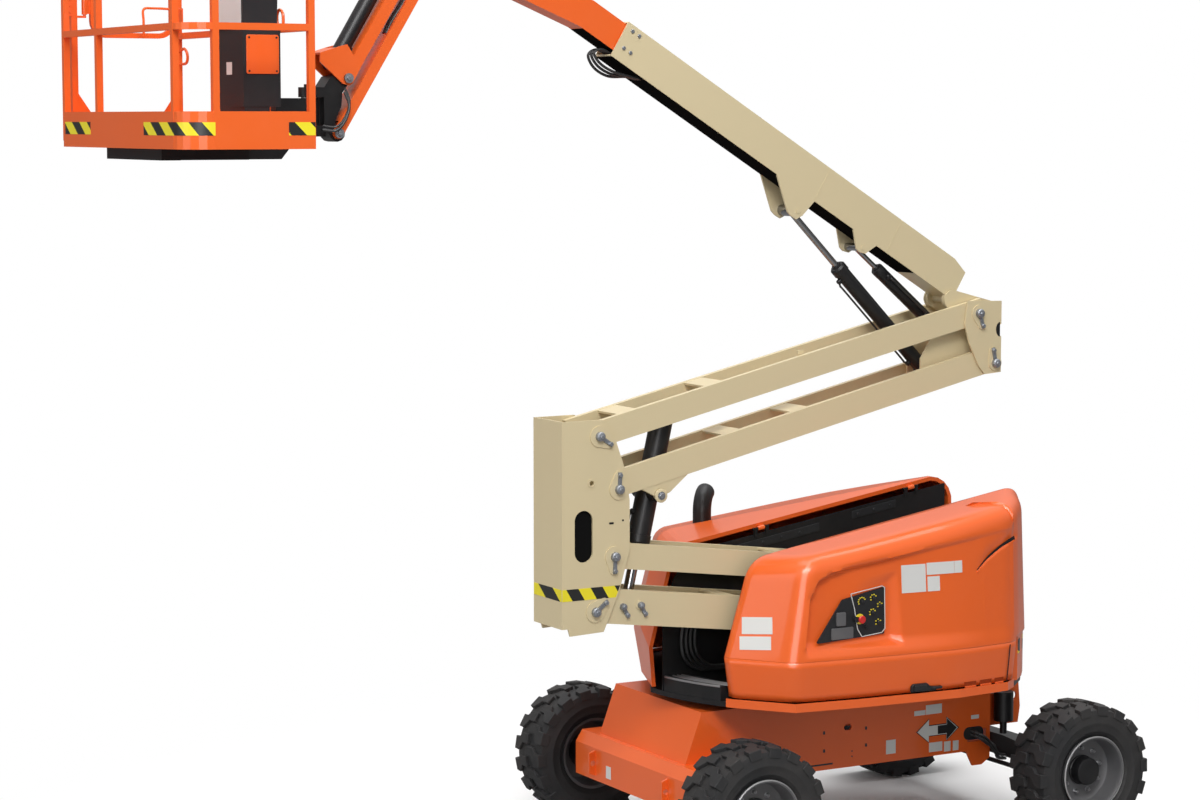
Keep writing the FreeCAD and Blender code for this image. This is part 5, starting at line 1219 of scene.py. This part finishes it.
# %% Control box
(BOX_X0, BOX_Y0), (BOX_X1, BOX_Y1) = (corner[:2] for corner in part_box("control_console"))
piece("console_sheets", [facing_x(BOX_X0, BOX_Y0 + 0.372, BOX_Y0 + 0.022, 4.795, 5.180, 0.002),
                         facing_x(BOX_X0 + 0.008, BOX_Y0 + 0.240, BOX_Y0 + 0.050, 4.555, 4.618, 0.0015)],
      PLATE, "platform")
cover_x, cover_z = BOX_X1 - 0.098, 4.655
cover = rounded(0.176, 0.196, 0.012, cover_x, cover_z)
piece("console_cover", [facing_y(cover, BOX_Y0, 0.006)], ORANGE, "platform", bevel=0.002)
screws = [(cover_x + sx * 0.074, BOX_Y0 - 0.006, cover_z + sz * 0.084) for sx in (-1, 1) for sz in (-1, 1)]
piece("console_screws", [studs(screws, OUT, 0.0055, 0.003)], BLACK, "platform")
print("control box", [round(v, 3) for v in (BOX_X0, BOX_X1, BOX_Y0, BOX_Y1)])

# %% Hooks, tray and gate hinges
TRAY_X, RAIL_X = -3.980, -3.967
tray = [(TRAY_X, 0.470, 4.925), (TRAY_X - 0.150, 0.470, 4.930), (TRAY_X - 0.210, 0.460, 4.922),
        (TRAY_X - 0.215, 0.450, 4.860), (TRAY_X - 0.215, 0.450, 4.785)]
tray_plate = block((TRAY_X - 0.012, 0.40, 4.83), (TRAY_X - 0.006, 0.54, 4.93))
piece("tool_tray", [hose_run(tray, 0.007), tray_plate], ORANGE, "platform")


def rail_rod(route, radius):
    """Bent rod in the plane of the boom-side rail, its route given as (y, z)."""
    return hose_run([(RAIL_X, y, z) for y, z in route], radius)


hook = [(0.505, 4.700), (0.440, 4.712), (0.400, 4.690), (0.392, 4.655), (0.420, 4.632), (0.505, 4.630)]
piece("lanyard_hook", [rail_rod(hook, 0.008)], ORANGE, "platform")
stay = [(-0.720, 5.300), (-0.730, 4.960), (-0.800, 4.800)]
loop = [(-0.860, 4.786), (-0.850, 4.850), (-0.880, 4.880), (-0.925, 4.860), (-0.930, 4.786)]
piece("rail_brace", [rail_rod(stay, 0.014), rail_rod(loop, 0.008)], ORANGE, "platform")
HINGE_Z = (4.935, 5.195)
hinges = [facing_y(rect(-4.634, -4.575, z - 0.055, z + 0.055), TOE_Y1 - 0.034, 0.004) for z in HINGE_Z]
bolts = [studs([(x, TOE_Y1 - 0.040, z + dz) for x in (-4.620, -4.590) for dz in (-0.036, 0.0, 0.036)],
               OUT, 0.006, 0.004) for z in HINGE_Z]
piece("gate_hinge_plates", hinges + bolts, ORANGE, "platform")
